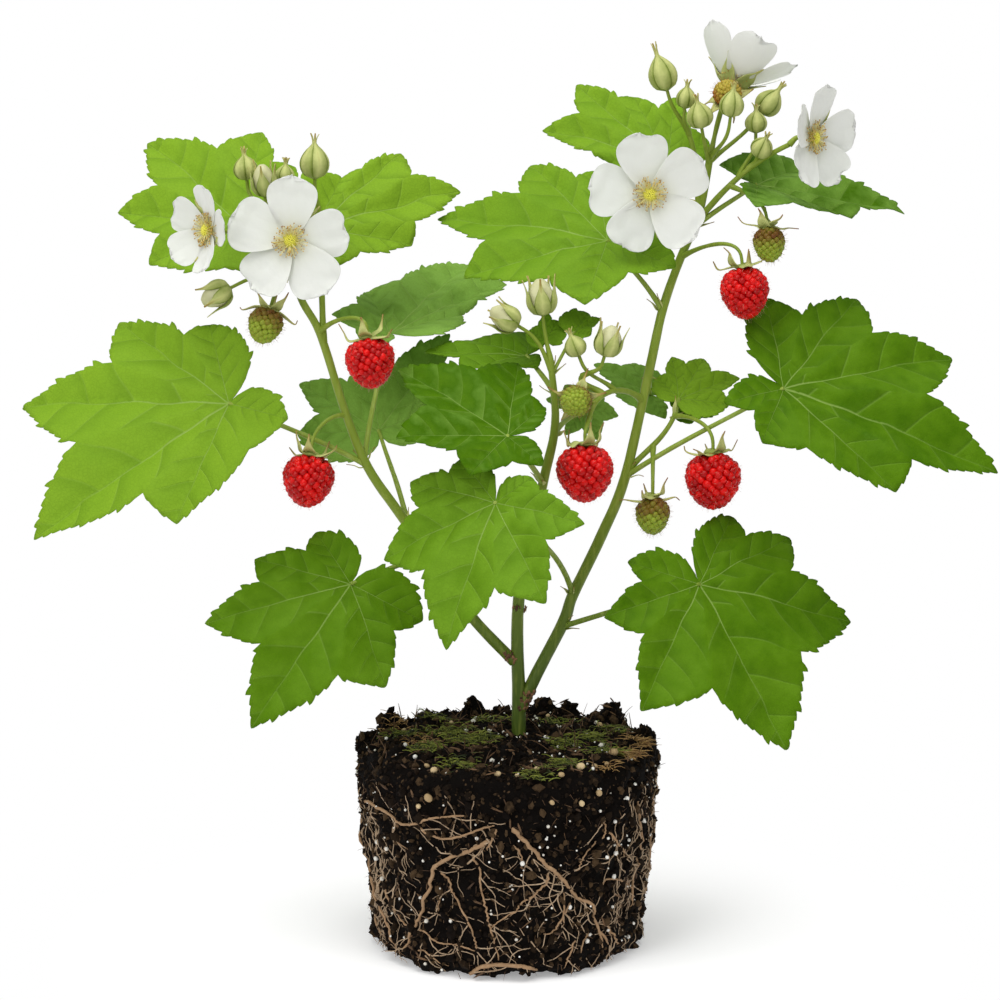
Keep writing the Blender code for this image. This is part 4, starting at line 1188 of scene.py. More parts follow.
# %% Flower finishes
def make_petal_finish():
    """White and slightly translucent, going grey-green towards the middle: partly the petal's own tint,
    partly painted shade.
    """
    material, tree, shader, place = new_finish(
        "petal", 0.55, Specular_IOR_Level=0.25, Subsurface_Weight=0.3, Subsurface_Scale=0.002)
    shader.inputs["Subsurface Radius"].default_value = (1.0, 1.0, 0.9)
    # Painted shade in the flower's cup, with the petal's own tint: each petal goes grey-green towards the
    # middle.
    inner = spread(tree, attribute(tree, "tone"), 0.55, 0.0, 0.0, 0.5)
    clouds = mix_colour(tree, speckle(tree, place, 60, 2), (0.71, 0.72, 0.665), (0.77, 0.78, 0.735))
    tree.links.new(mix_colour(tree, inner, clouds, (0.62, 0.66, 0.46)), shader.inputs["Base Color"])
    add_bump(tree, shader, speckle(tree, place, 500, 2), 0.0002, 0.4)
    return material


def plain_finish(name, dark, light, roughness, scale=300, **settings):
    """Two colours mixed by the copy's own tone and by a fine speckle."""
    material, tree, shader, place = new_finish(name, roughness, **settings)
    tone = weighed_sum(tree, (speckle(tree, place, scale, 3), 0.5), (attribute(tree, "tone"), 0.6))
    colour = mix_colour(tree, spread(tree, tone, 0.15, 0.85), dark, light)
    tree.links.new(colour, shader.inputs["Base Color"])
    return material


PETAL = make_petal_finish()
FILAMENT = plain_finish("filament", (0.74, 0.66, 0.26), (0.90, 0.86, 0.58), 0.5)
ANTHER = plain_finish("anther", (0.28, 0.13, 0.02), (0.66, 0.45, 0.10), 0.6)
PISTIL = plain_finish("pistil", (0.52, 0.50, 0.02), (0.82, 0.78, 0.10), 0.5)

# %% Shapes that are copied
def ball_shape(name, detail=1):
    bm = bmesh.new()
    bmesh.ops.create_icosphere(bm, subdivisions=detail, radius=1.0)
    return helper_shape(name, bm)


def hair_shape(name):
    """A thin bristle one unit long that stands on its root."""
    bm = bmesh.new()
    bmesh.ops.create_cone(bm, cap_ends=True, segments=3, radius1=0.05, radius2=0.012, depth=1.0)
    bmesh.ops.translate(bm, vec=(0, 0, 0.5), verts=bm.verts)
    return helper_shape(name, bm)


GOLDEN_ANGLE = math.pi * (3 - math.sqrt(5))


def level_way(radians):
    """The level direction at this angle from +X."""
    return Vector((math.cos(radians), math.sin(radians), 0))


def golden_points(count, low, high):
    """Evenly spread directions over a ball between two heights, wound on a golden-angle spiral."""
    found = []
    for i in range(count):
        z = low + (high - low) * (i + 0.5) / count
        ring, angle = math.sqrt(max(0.0, 1 - z * z)), i * GOLDEN_ANGLE
        found.append(Vector((ring * math.cos(angle), ring * math.sin(angle), z)))
    return found


# %% Build the flowers
PETAL_ROWS, PETAL_COLUMNS = 22, 20
PETAL_WIDEST = 0.53   # a petal's half width in its outer third, as a share of its length
PETAL_FOOT = 0.035    # its half width at its foot
PETAL_STARTS = 0.04   # how far from the flower's axis it begins
NOTCH_WIDTH = 0.13
FLAT_SIDES = 0.05     # how far a petal's sides stay behind its middle
WAVY_END = 0.035      # how far its end waves in and out
CUPPED_SIDES = 0.012  # how far its sides stand forward
CRINKLE, WAVE = 0.5, 1.6  # how far the fine crinkles and the broad waves push, in mm


def petal_half_width(u):
    """The half width as a share of the length: quickly wide, and closed by a round end."""
    return PETAL_WIDEST * u**0.66 * math.sqrt(max(0.0, 1 - u**4.5))


def petal_grid(row, petal, rng):
    """(points, tones) of one petal; u runs along it and v across it from -1 to 1."""
    notch = rng.uniform(0.0, 0.09)
    notch_at = rng.uniform(-0.15, 0.15)
    tilt = rng.uniform(0.10, 0.16) * rng.choice((1, 1, -1))
    seed = rng.uniform(0, 99)
    length = row.petal * rng.uniform(0.95, 1.03)
    wide = rng.uniform(0.90, 1.06)
    askew = rng.uniform(-4, 4)
    turn = Matrix.Rotation(math.radians(petal * 360 / PETALS + row.turn + askew), 4, "Z")
    facing = facing_matrix(row.centre, row.facing)
    points, tones = [], []
    for i in range(PETAL_ROWS + 1):
        u = 1 - (1 - i / PETAL_ROWS) ** 1.7
        line = []
        for j in range(PETAL_COLUMNS + 1):
            v = math.sin((2 * j / PETAL_COLUMNS - 1) * math.pi / 2)
            y = length * (wide * petal_half_width(u) + PETAL_FOOT) * v
            notched = notch * u**6 * math.exp(-((y / length - notch_at) / NOTCH_WIDTH) ** 2)
            x = length * (PETAL_STARTS + (1 - PETAL_STARTS) * u - notched)
            x -= FLAT_SIDES * length * v * v * u
            x += WAVY_END * length * noise.noise(Vector((3 * v, seed, 0))) * u**4
            away = math.hypot(x, y) / length
            z = row.cup * away**1.5 + tilt * y + CUPPED_SIDES * length * v * v
            crinkle = noise.noise(Vector((y / 2.6, x / 14, seed)))
            crinkle += 0.5 * noise.noise(Vector((y / 1.1, x / 9, seed)))
            wave = noise.noise(Vector((seed, y / 5, x / 5)))
            z += CRINKLE * crinkle * u + WAVE * wave * u**3
            line.append(facing @ (turn @ Vector((x, y, z))))
        points.append(line)
        tones.append([u] * (PETAL_COLUMNS + 1))
    return points, tones


PETAL_THICK, SEPAL_THICK = 0.22, 0.35
STAMENS, PISTILS = 120, 90
STAMEN_FOOT = 1.8                       # how far from the axis a filament begins, in mm
STAMEN_REACH, STAMEN_RISE = (3.6, 7.4), (1.2, 3.4)
FILAMENT_RADII = [0.20, 0.15, 0.11]
ANTHER_SIZE, PISTIL_SIZE = (0.29, 0.29, 0.34), (0.42, 0.42, 0.75)
DOME_RADIUS, DOME_HEIGHT = 2.7, 2.6
FLOWER_SEPAL = [(1.0, -1.6), (5.5, -1.4), (10, -0.9), (13.5, -0.6), (17.5, -0.4)]
FLOWER_SEPAL_HALF = 3.6
FULL_PETAL = 26                         # the petal's length on the flower that this sepal fits
CALYX_HALF, CALYX_BACK = (3.6, 3.6, 2.7), 1.3


def make_stamens(rng, facing):
    """Filaments as tubes and anthers as copies, splayed in a ring around the pistils."""
    paths, anthers = [], []
    for _ in range(STAMENS):
        way = level_way(rng.uniform(0, 2 * math.pi))
        reach = rng.uniform(*STAMEN_REACH)
        rise = rng.uniform(*STAMEN_RISE) + 0.25 * (7.2 - reach)
        route = ((STAMEN_FOOT, 0.2), (0.55 * reach, 0.75 * rise), (reach, rise))
        points = [facing @ (way * out + Vector((0, 0, up))) for out, up in route]
        paths.append((points, FILAMENT_RADII))
        axis = facing.to_3x3() @ (way + Vector((0, 0, rng.uniform(0, 1))))
        anthers.append(chance_copy(rng, points[-1], axis, ANTHER_SIZE))
    return paths, anthers


def make_flower(name, row, index):
    rng = chance("flower", index)
    facing = facing_matrix(row.centre, row.facing)
    turned = facing_matrix(row.centre, row.facing, row.turn)
    petals = sheet("petals", [petal_grid(row, petal, rng) for petal in range(PETALS)], PETAL_THICK, PETAL)
    filament_paths, anthers = make_stamens(rng, facing)
    filaments = make_tubes("filaments", filament_paths, FILAMENT, sides=4)
    shape = ball_shape("anther_shape")
    anther = set_out("anthers", anthers, shape, ANTHER)
    dome = []
    for way in golden_points(PISTILS, 0.05, 1.0):
        place = facing @ Vector((way.x * DOME_RADIUS, way.y * DOME_RADIUS, way.z * DOME_HEIGHT + 0.2))
        dome.append(Copy(place, facing.to_3x3() @ way, PISTIL_SIZE, 0.0, way.z))
    pistils = set_out("pistils", dome, shape, PISTIL)
    discard(shape)
    sepals = []
    for k in range(PETALS):
        lift = row.cup / row.petal * 0.7
        spine = [(r * row.petal / FULL_PETAL, z + lift * r - 1.0 * (r > 3))
                 for r, z in jittered(FLOWER_SEPAL, rng, 0.05)]
        angle = (k + 0.5) * 360 / PETALS
        sepals.append(sepal_grid(turned, angle, spine, FLOWER_SEPAL_HALF, rng, cup=-0.2, tip_tone=0.4))
    star = sheet("sepals", sepals, SEPAL_THICK, SEPAL)
    calyx_matrix = facing @ Matrix.Translation((0, 0, -CALYX_BACK)) @ Matrix.Diagonal((*CALYX_HALF, 1))
    calyx = round_body("calyx", 16, 8, SEPAL, lambda place: calyx_matrix @ place)
    piece = join_pieces(f"{name}_bloom", [petals, filaments, anther, pistils, star, calyx])
    return keep_piece(piece, "petal", name)


for flower_index, (flower_name, flower_row) in enumerate(FLOWERS.items()):
    make_flower(flower_name, flower_row, flower_index)

# %% [markdown]
# ## Ripe and unripe berries
#
# A berry is a dense spiral of drupelets over the same tapering ball as the rough berry, pressed
# against each other so that only dark seams show between them. Sparse pale hairs stand out between
# the drupelets, and five sepals with long curled tips spread above.

# %% Berry finishes
def make_berry_finish(name, dark, light, roughness):
    """Juicy and faintly translucent; each drupelet has its own tone, mixed with a fine speckle."""
    material, tree, shader, place = new_finish(
        name, roughness, Specular_IOR_Level=0.22, Subsurface_Weight=0.1, Subsurface_Scale=0.001)
    shader.inputs["Subsurface Radius"].default_value = (1.0, 0.25, 0.15)
    tone = weighed_sum(tree, (attribute(tree, "tone"), 0.6), (speckle(tree, place, 220, 2), 0.5))
    colour = mix_colour(tree, spread(tree, tone, 0.1, 0.9), dark, light)
    tree.links.new(colour, shader.inputs["Base Color"])
    add_bump(tree, shader, speckle(tree, place, 1500, 2), 0.0001, 0.2)
    return material


RIPE_SKIN = make_berry_finish("ripe_drupelets", (0.34, 0.001, 0.002), (0.70, 0.004, 0.003), 0.3)
UNRIPE_SKIN = make_berry_finish("green_drupelets", (0.13, 0.040, 0.006), (0.27, 0.36, 0.03), 0.45)
YOUNG_SKIN = make_berry_finish("young_drupelets", (0.30, 0.045, 0.012), (0.40, 0.33, 0.04), 0.5)
PALE_HAIR = plain_finish("pale_hair", (0.50, 0.22, 0.14), (0.80, 0.55, 0.40), 0.5)
RED_HAIR = plain_finish("red_hair", (0.16, 0.035, 0.010), (0.42, 0.17, 0.04), 0.5)

# %% Build the berries
BERRY_CONE = 0.2     # how much narrower a berry is at its tip than in its middle, and wider behind
BERRY_SHOULDER = 0.06


def berry_point(way, half, matrix):
    """The place on a berry's skin in this direction, and the way out of it."""
    wide = (1 - BERRY_CONE * way.z) * half.x
    shoulder = BERRY_SHOULDER * half.z * max(0.0, -way.z)
    place = Vector((way.x * wide, way.y * wide, way.z * half.z + shoulder))
    out = Vector((way.x / half.x, way.y / half.x, way.z / half.z + BERRY_CONE / half.z)).normalized()
    return matrix @ place, matrix.to_3x3() @ out


HAIR_WIDTH = 1.6      # a bristle is a tenth of this wide at its foot
HAIR_STANDS = (0.9, 2.0)
CALYX_WIDTH = 0.3     # the calyx's half width as a share of the berry's
CALYX_RIM = 0.6       # how much wider it is all the same, in mm
CALYX_THICK = 1.2
OVERLAP = 1.08        # how much larger drupelets are than would just cover the berry
SUNK = 0.7            # how deep a drupelet sits in the berry, as a share of its radius
Kind = namedtuple("Kind", "slot hair drupelets hairs spines sepal_half tip_tone")


def make_berry(name, row, skin, kind, index):
    """Makes and keeps a berry; its crown of sepals, as (points, tones) of each, is returned."""
    rng = chance(kind.slot, index)
    long_half, wide_half = row.size[0] / 2, row.size[1] / 2 * 0.97
    matrix = facing_matrix(row.centre, row.facing, rng.uniform(0, 90))
    radius = OVERLAP * math.sqrt(4 * wide_half * long_half / kind.drupelets)
    inner = Vector((wide_half, wide_half, long_half)) - Vector((1, 1, 1)) * SUNK * radius
    drupelets, bristles = [], []
    for way in golden_points(kind.drupelets, -1.0, 1.0):
        shaken = (way + Vector([rng.uniform(-0.035, 0.035) for _ in range(3)])).normalized()
        place, out = berry_point(shaken, inner, matrix)
        swell = radius * rng.uniform(0.88, 1.10)
        age = rng.random()
        if kind.slot == "green":
            age = 0.2 * age + 0.8 * min(1, max(0, 0.5 + 1.1 * way.z))
        drupelets.append(Copy(place, out, (swell, swell, swell * 1.05), rng.uniform(0, 6), age))
    for way in golden_points(kind.hairs, -0.95, 1.0):
        shaken = (way + Vector((rng.uniform(-0.1, 0.1), rng.uniform(-0.1, 0.1), 0))).normalized()
        place, out = berry_point(shaken, inner, matrix)
        length = radius + rng.uniform(*HAIR_STANDS)
        lean = out + Vector([rng.uniform(-0.35, 0.35) for _ in range(3)])
        bristles.append(Copy(place, lean, (HAIR_WIDTH, HAIR_WIDTH, length), 0.0, rng.random()))
    drop = ball_shape("drupelet_shape", 2)
    bristle = hair_shape("bristle_shape")
    flesh = set_out("flesh", drupelets, drop, skin)
    fur = set_out("fur", bristles, bristle, kind.hair)
    discard(drop, bristle)
    core = round_body("core", 20, 12, skin,
                      lambda place: berry_point(place.normalized(), inner * 0.97, matrix)[0])
    rim = CALYX_WIDTH * wide_half + CALYX_RIM
    behind = matrix @ Matrix.Translation((0, 0, -long_half + 0.2))
    calyx_matrix = behind @ Matrix.Diagonal((rim, rim, CALYX_THICK, 1))
    calyx = round_body("calyx", 20, 10, SEPAL, lambda place: calyx_matrix @ place)
    piece = join_pieces(f"{name}_fruit", [flesh, fur, core, calyx])
    keep_piece(piece, kind.slot, name)
    crown = []
    for k in range(PETALS):
        spine = jittered([(r, z - long_half + 0.7) for r, z in rng.choice(kind.spines)], rng)
        angle = k * 360 / PETALS + rng.uniform(-9, 9)
        crown.append(sepal_grid(matrix, angle, spine, kind.sepal_half, rng, tip_tone=kind.tip_tone))
    return crown


RIPE_SPINES = [
    [(0.5, -0.6), (4.0, -0.9), (7.0, -0.8), (9.5, -2.4), (11.0, -6.0)],
    [(0.5, -0.6), (4.5, -0.4), (8.0, 0.4), (11.5, -0.4), (14.0, -3.0)],
    [(0.5, -0.6), (3.5, -1.8), (5.5, -4.0), (6.5, -6.5), (7.5, -9.5)],
]
UNRIPE_SPINES = [
    [(0.5, -0.4), (3.0, -0.9), (5.5, -1.4), (8.5, -2.8), (11.0, -4.8)],
    [(0.5, -0.4), (3.5, -0.3), (6.5, 0.6), (10.0, 1.4), (13.0, 1.0)],
    [(0.5, -0.4), (3.0, -1.6), (5.0, -3.2), (6.5, -5.4), (7.5, -8.5)],
]
RIPE = Kind("ripe", PALE_HAIR, drupelets=165, hairs=170, spines=RIPE_SPINES, sepal_half=2.7,
            tip_tone=0.7)
UNRIPE = Kind("green", RED_HAIR, drupelets=115, hairs=190, spines=UNRIPE_SPINES, sepal_half=2.5,
              tip_tone=0.8)
crowns = []
for berry_index, (berry_name, berry_row) in enumerate(BERRIES.items()):
    crowns += make_berry(berry_name, berry_row, RIPE_SKIN, RIPE, berry_index)
for berry_index, (berry_name, berry_row) in enumerate(GREEN_BERRIES.items()):
    skin = YOUNG_SKIN if berry_name == "green_berry_top" else UNRIPE_SKIN
    crowns += make_berry(berry_name, berry_row, skin, UNRIPE, berry_index)
keep_piece(sheet("berry_sepals", crowns, SEPAL_THICK, SEPAL), "bud")

# %% Stipules
STIPULE_SPINE = [(0.9, 0.0), (1.9, 2.2), (2.3, 5.0), (3.4, 7.6)]
STIPULE_HALF, STIPULE_THICK = 0.9, 0.3


def stipules(row, rng):
    """Two thin green scales that clasp a petiole's foot."""
    heel, joint = foot(row.on, row.where), Vector(row.at)
    matrix = facing_matrix(heel, joint - heel, rng.uniform(0, 360))
    return [sepal_grid(matrix, angle, jittered(STIPULE_SPINE, rng), STIPULE_HALF, rng) for angle in (0, 165)]


stipule_rng = chance("stipule")
scales = [scale for row in LEAVES.values() for scale in stipules(row, stipule_rng)]
keep_piece(sheet("stipules", scales, STIPULE_THICK, SEPAL), "cane")

# %% Scars at the joints
SCAR = plain_finish("scar", (0.060, 0.022, 0.010), (0.26, 0.13, 0.06), 0.8)
# The cane, then the lowest and the highest scale, and how many.
SCARS = [("cane_right", 101, 109, 60), ("cane_left", 122.5, 127, 20), ("cane_center", 144, 147, 6)]


def make_scars():
    """Brown scales on the front of the canes."""
    rng = chance("scar")
    copies = []
    for cane, low, high, count in SCARS:
        for _ in range(count):
            angle = rng.uniform(-30, 150)
            way = Vector((math.cos(math.radians(angle)), -math.sin(math.radians(angle)), 0))
            place = foot(cane, rng.uniform(low, high)) + way * CANES[cane].bottom * rng.uniform(0.88, 1.0)
            lean = way * 0.5 + Vector((rng.gauss(0, 0.3), rng.gauss(0, 0.3), 1))
            wide = rng.uniform(0.5, 1.0)
            copies.append(chance_copy(rng, place, lean, (wide, wide * 0.6, rng.uniform(0.9, 2.0))))
    shape = ball_shape("scar_shape")
    keep_piece(set_out("cane_scars", copies, shape, SCAR), "cane")
    discard(shape)


make_scars()

# %% [markdown]
# ## Buds
#
# A bud is five sepals wrapped edge over edge around a ball, drawn out above into one thin beak that
# splays at its end. On an opening bud they end halfway up in free thin tips, and the cream petals
# stand between them, rolled around each other.

# %% Build the buds
CREAM = plain_finish("cream_petal", (0.50, 0.50, 0.25), (0.86, 0.83, 0.68), 0.55, scale=160)
OPEN_BUDS = ("bud_left_opening", "bud_arc_open", "bud_left_drooping", "bud_middle_high", "bud_middle_left")
BUD_ROWS = 14
BUD_ACROSS = (-1, -0.75, -0.4, 0, 0.4, 0.75, 1)
BUD_WIDEST = -0.15    # the height of a bud's widest ring, in half lengths
BUD_NECK = 0.5        # the neck's radius, in mm
OPEN_SEPAL_TOP = 0.15  # where an open bud's sepals leave the petals, in half lengths
CLOSED_SEPAL_TOP = 0.95
CLOSED, PETALS_SHOW = 1.35, 0.75    # how sharply each kind is drawn in
LAP, BULGE = 0.28, 0.30  # how far one edge lies over the next sepal, and how far the middle stands out
WRAP_THICK = 0.3
FOLDS = 0.06          # how deep the folds of a bud's petals are


def bud_ring(height, fullness):
    """The radius at a height in half lengths: round below, drawn in above to a point."""
    if height < BUD_WIDEST:
        return math.sqrt(max(0.0, 1 - ((height - BUD_WIDEST) / (1 + BUD_WIDEST)) ** 2))
    return max(0.0, 1 - ((height - BUD_WIDEST) / (1.08 - BUD_WIDEST)) ** 2) ** fullness


def bud_sepal(matrix, half, angle, opening, rng):
    """One sepal as a grid that lies on the ball; its tip joins the beak or stands free."""
    points, tones = [], []
    beak = rng.uniform(0.55, 0.8)
    splay = rng.uniform(0.5, 1.4)
    top = rng.uniform(0.95, 1.3) if opening else 1.0 + beak
    free = OPEN_SEPAL_TOP if opening else CLOSED_SEPAL_TOP
    for i in range(BUD_ROWS + 1):
        t = i / BUD_ROWS
        height = -1 + (top + 1) * t
        beyond = min(1.0, max(0.0, (height - free) / (top - free)))
        if opening:
            ring = bud_ring(min(height, free), PETALS_SHOW) * half.x + (0.3 + 1.4 * splay) * beyond**1.6
            wide = 36 * (1 - 0.65 * max(0.0, height + 0.55)) * (1 - beyond) ** 1.4 + 3
        else:
            ring = max(bud_ring(height, CLOSED) * half.x, BUD_NECK) + splay * beyond**3
            wide = 46 - 36 * beyond
        line, shades = [], []
        for v in BUD_ACROSS:
            around = math.radians(angle + wide * v)
            close = min(1, ring / 2)
            lap = ring + (LAP * (v + 1) + BULGE * (1 - v * v)) * close * (1 - beyond)
            line.append(matrix @ Vector((lap * math.cos(around), lap * math.sin(around), height * half.z)))
            rib = 0.05 * math.cos(3 * math.pi * v)
            # Darker at a sepal's edges and towards the bud's foot: partly the sepals' own green, partly
            # painted shade in the seams and underneath.
            shades.append(0.34 + rib - 0.34 * abs(v) ** 1.5 - 0.16 * (1 - t) + 0.45 * beyond)
        points.append(line)
        tones.append(shades)
    return points, tones


def bud_core_point(place, half, opening):
    """A unit ball's point moved to the folded petals inside the sepals."""
    way = place.normalized()
    flat = math.hypot(way.x, way.y)
    fold = 1 + FOLDS * math.sin(4 * math.atan2(way.y, way.x) + 5 * way.z) * max(0.0, 1 - way.z**2)
    if opening:
        ring, tall = bud_ring(way.z, PETALS_SHOW) * half.x * fold * 0.99, 1.04 if way.z > 0 else 0.97
    else:
        ring, tall = bud_ring(way.z, CLOSED) * half.x * fold * 0.9, 0.97
    if flat < 1e-4:
        return Vector((0, 0, way.z * half.z * tall))
    return Vector((ring * way.x / flat, ring * way.y / flat, way.z * half.z * tall))


def make_bud(name, row, index):
    rng = chance("bud", index)
    opening = name in OPEN_BUDS
    half = Vector((row.size[1] / 2 * 0.96, 0, row.size[0] / 2))
    matrix = facing_matrix(row.centre, row.facing, rng.uniform(0, 360 / PETALS))
    wraps = [bud_sepal(matrix, half, k * 360 / PETALS, opening, rng) for k in range(PETALS)]
    sepals = sheet("wrap", wraps, WRAP_THICK, SEPAL, offset=1.0)
    core = round_body("core", 36, 22, CREAM if opening else SEPAL,
                      lambda place: matrix @ bud_core_point(place, half, opening))
    piece = join_pieces(f"{name}_wrapped", [sepals, core])
    return keep_piece(piece, "bud", name)


for bud_index, (bud_name, bud_row) in enumerate(BUDS.items()):
    make_bud(bud_name, bud_row, bud_index)

# %% [markdown]
# ## Root ball
#
# The plug of compost is built up the way a real one is. A revolved surface, pushed in and out by
# lumps of three sizes, is the dark mass behind. Thousands of crumbs are scattered over it by a tree,
# and then come perlite, a few pebbles, bark, moss and the roots. Everything is placed with the same
# function of the way round and the height, so that it all lies on the uneven soil.

# %% The soil's uneven surface
SOIL_FOOT = [(0, 0), (46, 0), (52.5, 1.2)]  # (radius, height) along the plug's outline
SOIL_SIDE = [(56.0, 5.0), (60.5, 44), (63.6, 78), (63.5, 84)]
SOIL_CROWN = [(60, 87.5), (44, 88.5), (22, 90), (0, 90.5)]
SOIL_STEP = 1.15
BALL_RADIUS, CROWN_RADIUS = 62, 61    # for the steps round the side, and for what lies on the crown
BOTTOM_REACH, BOTTOM_COARSER = 44, 6  # within this radius, the bottom's rings are this much sparser
SOIL_LUMPS = ((17, 2.4), (6.5, 1.9), (2.7, 1.1))  # (size, how far it pushes), in mm
# Clods that stand up from the crown: (x, y, height, width).
CLODS = [(-50, 26, 8, 7), (-34, 40, 4.5, 6), (-15, 48, 9, 6), (-3, 44, 4.5, 6), (17, 46, 9.5, 7),
         (27, 44, 7.5, 5), (46, 32, 8.5, 7), (60, 14, 6, 6), (-61, 4, 4.5, 6), (-46, -26, 2.5, 7),
         (38, -36, 2, 8), (8, 14, 3, 9), (-22, -30, 2, 9), (52, -10, 2.5, 7)]
# Where the plug's foot is worn away and lifts off the floor: (degrees round, height, width).
HOLLOWS = [(4, 3.2, 13), (-62, 2.4, 9), (58, 2.6, 12), (120, 2.5, 14), (-130, 3.0, 15), (180, 2.4, 12)]
HOLLOW_TOP = 8       # how high up the side a hollow is felt
HOLLOW_IN, HOLLOW_OUT = 40, 52  # the radii where it begins and where it is deepest


def outward(degrees):
    """The level direction straight out of the plug, this far round from its front."""
    angle = math.radians(degrees)
    return Vector((math.sin(angle), -math.cos(angle), 0))


def soil_point(degrees, radius, height, normal_out, normal_up, above=0.0):
    """A point of the uneven soil, moved out from its smooth place and then a further distance above."""
    way = outward(degrees)
    place = way * radius + Vector((0, 0, height))
    push = sum(reach * noise.noise(place / size) for size, reach in SOIL_LUMPS)
    if normal_up > 0.3:
        for x, y, rise, wide in CLODS:
            gap = (place.x - x) ** 2 + (place.y - y) ** 2
            push += normal_up * rise * math.exp(-gap / (0.7 * wide) ** 2)
    place += (way * normal_out + Vector((0, 0, normal_up))) * (push + above)
    if height < HOLLOW_TOP:
        deep = (1 - height / HOLLOW_TOP) * min(1, max(0, (radius - HOLLOW_IN) / (HOLLOW_OUT - HOLLOW_IN)))
        for at, rise, wide in HOLLOWS:
            off = (degrees - at + 180) % 360 - 180
            place.z += rise * math.exp(-(off / wide) ** 2) * deep
    place.z = max(place.z, 0.02)
    return place


def on_side(degrees, height, above):
    """A place this far above the soil on the plug's side."""
    radius = float(np.interp(height, [z for _, z in SOIL_SIDE], [r for r, _ in SOIL_SIDE]))
    return soil_point(degrees, radius, height, 1.0, 0.0, above)


def on_top(x, y, above):
    """A place this far above the soil on the plug's crown."""
    radius = math.hypot(x, y)
    height = float(np.interp(radius, [r for r, _ in SOIL_CROWN[::-1]], [z for _, z in SOIL_CROWN[::-1]]))
    return soil_point(math.degrees(math.atan2(x, -y)), radius, height, 0.0, 1.0, above)


def make_soil():
    """The revolved surface as one closed mesh."""
    path = [Vector(p) for p in SOIL_FOOT + SOIL_SIDE + SOIL_CROWN]
    lengths = np.cumsum([0] + [(b - a).length for a, b in zip(path, path[1:])])

    def outline(at):
        return Vector([float(np.interp(at, lengths, [p[k] for p in path])) for k in (0, 1)])

    samples = []
    steps = int(lengths[-1] / SOIL_STEP)
    for i in range(1, steps):
        at = lengths[-1] * i / steps
        if at < BOTTOM_REACH and i % BOTTOM_COARSER:
            continue
        tangent = outline(at + 2) - outline(at - 2)
        samples.append((*outline(at), *Vector((tangent.y, -tangent.x)).normalized()))
    columns = int(2 * math.pi * BALL_RADIUS / SOIL_STEP)
    points = [soil_point(360 * j / columns, *sample) * MM for sample in samples for j in range(columns)]
    faces = []
    for i in range(len(samples) - 1):
        for j in range(columns):
            a, b = i * columns + j, i * columns + (j + 1) % columns
            faces.append((a, b, b + columns, a + columns))
    faces.append(tuple(range(columns - 1, -1, -1)))
    last = (len(samples) - 1) * columns
    faces.append(tuple(range(last, last + columns)))
    mesh = bpy.data.meshes.new("soil")
    mesh.from_pydata(points, [], faces)
    mesh.shade_smooth()
    return mesh


# %% Soil finishes
def make_soil_finish(name, darkest, brown, tan):
    """Nearly black compost with brown and a few tan grains; the tone of a crumb picks its shade."""
    material, tree, shader, place = new_finish(name, 0.9, Specular_IOR_Level=0.08)
    tone = weighed_sum(tree, (attribute(tree, "tone"), 0.75), (speckle(tree, place, 420, 4, 0.7), 0.6))
    colour = colour_ramp(tree, tone, (0.3, darkest), (0.85, brown), (1.0, tan))
    tree.links.new(colour, shader.inputs["Base Color"])
    add_bump(tree, shader, speckle(tree, place, 800, 3, 0.7), 0.0008)
    return material


SOIL = make_soil_finish("soil_mass", (0.003, 0.002, 0.0015), (0.012, 0.008, 0.005), (0.030, 0.019, 0.011))
CRUMB = make_soil_finish("soil_crumbs", (0.004, 0.0025, 0.002), (0.018, 0.011, 0.006), (0.070, 0.043, 0.022))
PERLITE = plain_finish("perlite", (0.62, 0.58, 0.50), (0.90, 0.88, 0.82), 0.8)
PEBBLE = plain_finish("pebble", (0.36, 0.24, 0.11), (0.62, 0.47, 0.26), 0.7)
BARK = plain_finish("bark", (0.045, 0.022, 0.010), (0.15, 0.08, 0.035), 0.85)
MOSS = plain_finish("moss", (0.016, 0.028, 0.004), (0.24, 0.27, 0.03), 0.75)
STRAW = plain_finish("straw", (0.20, 0.10, 0.03), (0.48, 0.29, 0.10), 0.7)
OLD_ROOT = plain_finish("old_root", (0.30, 0.175, 0.085), (0.66, 0.46, 0.27), 0.75, scale=700)
FINE_ROOT = plain_finish("fine_root", (0.38, 0.26, 0.155), (0.86, 0.72, 0.54), 0.65, scale=500)

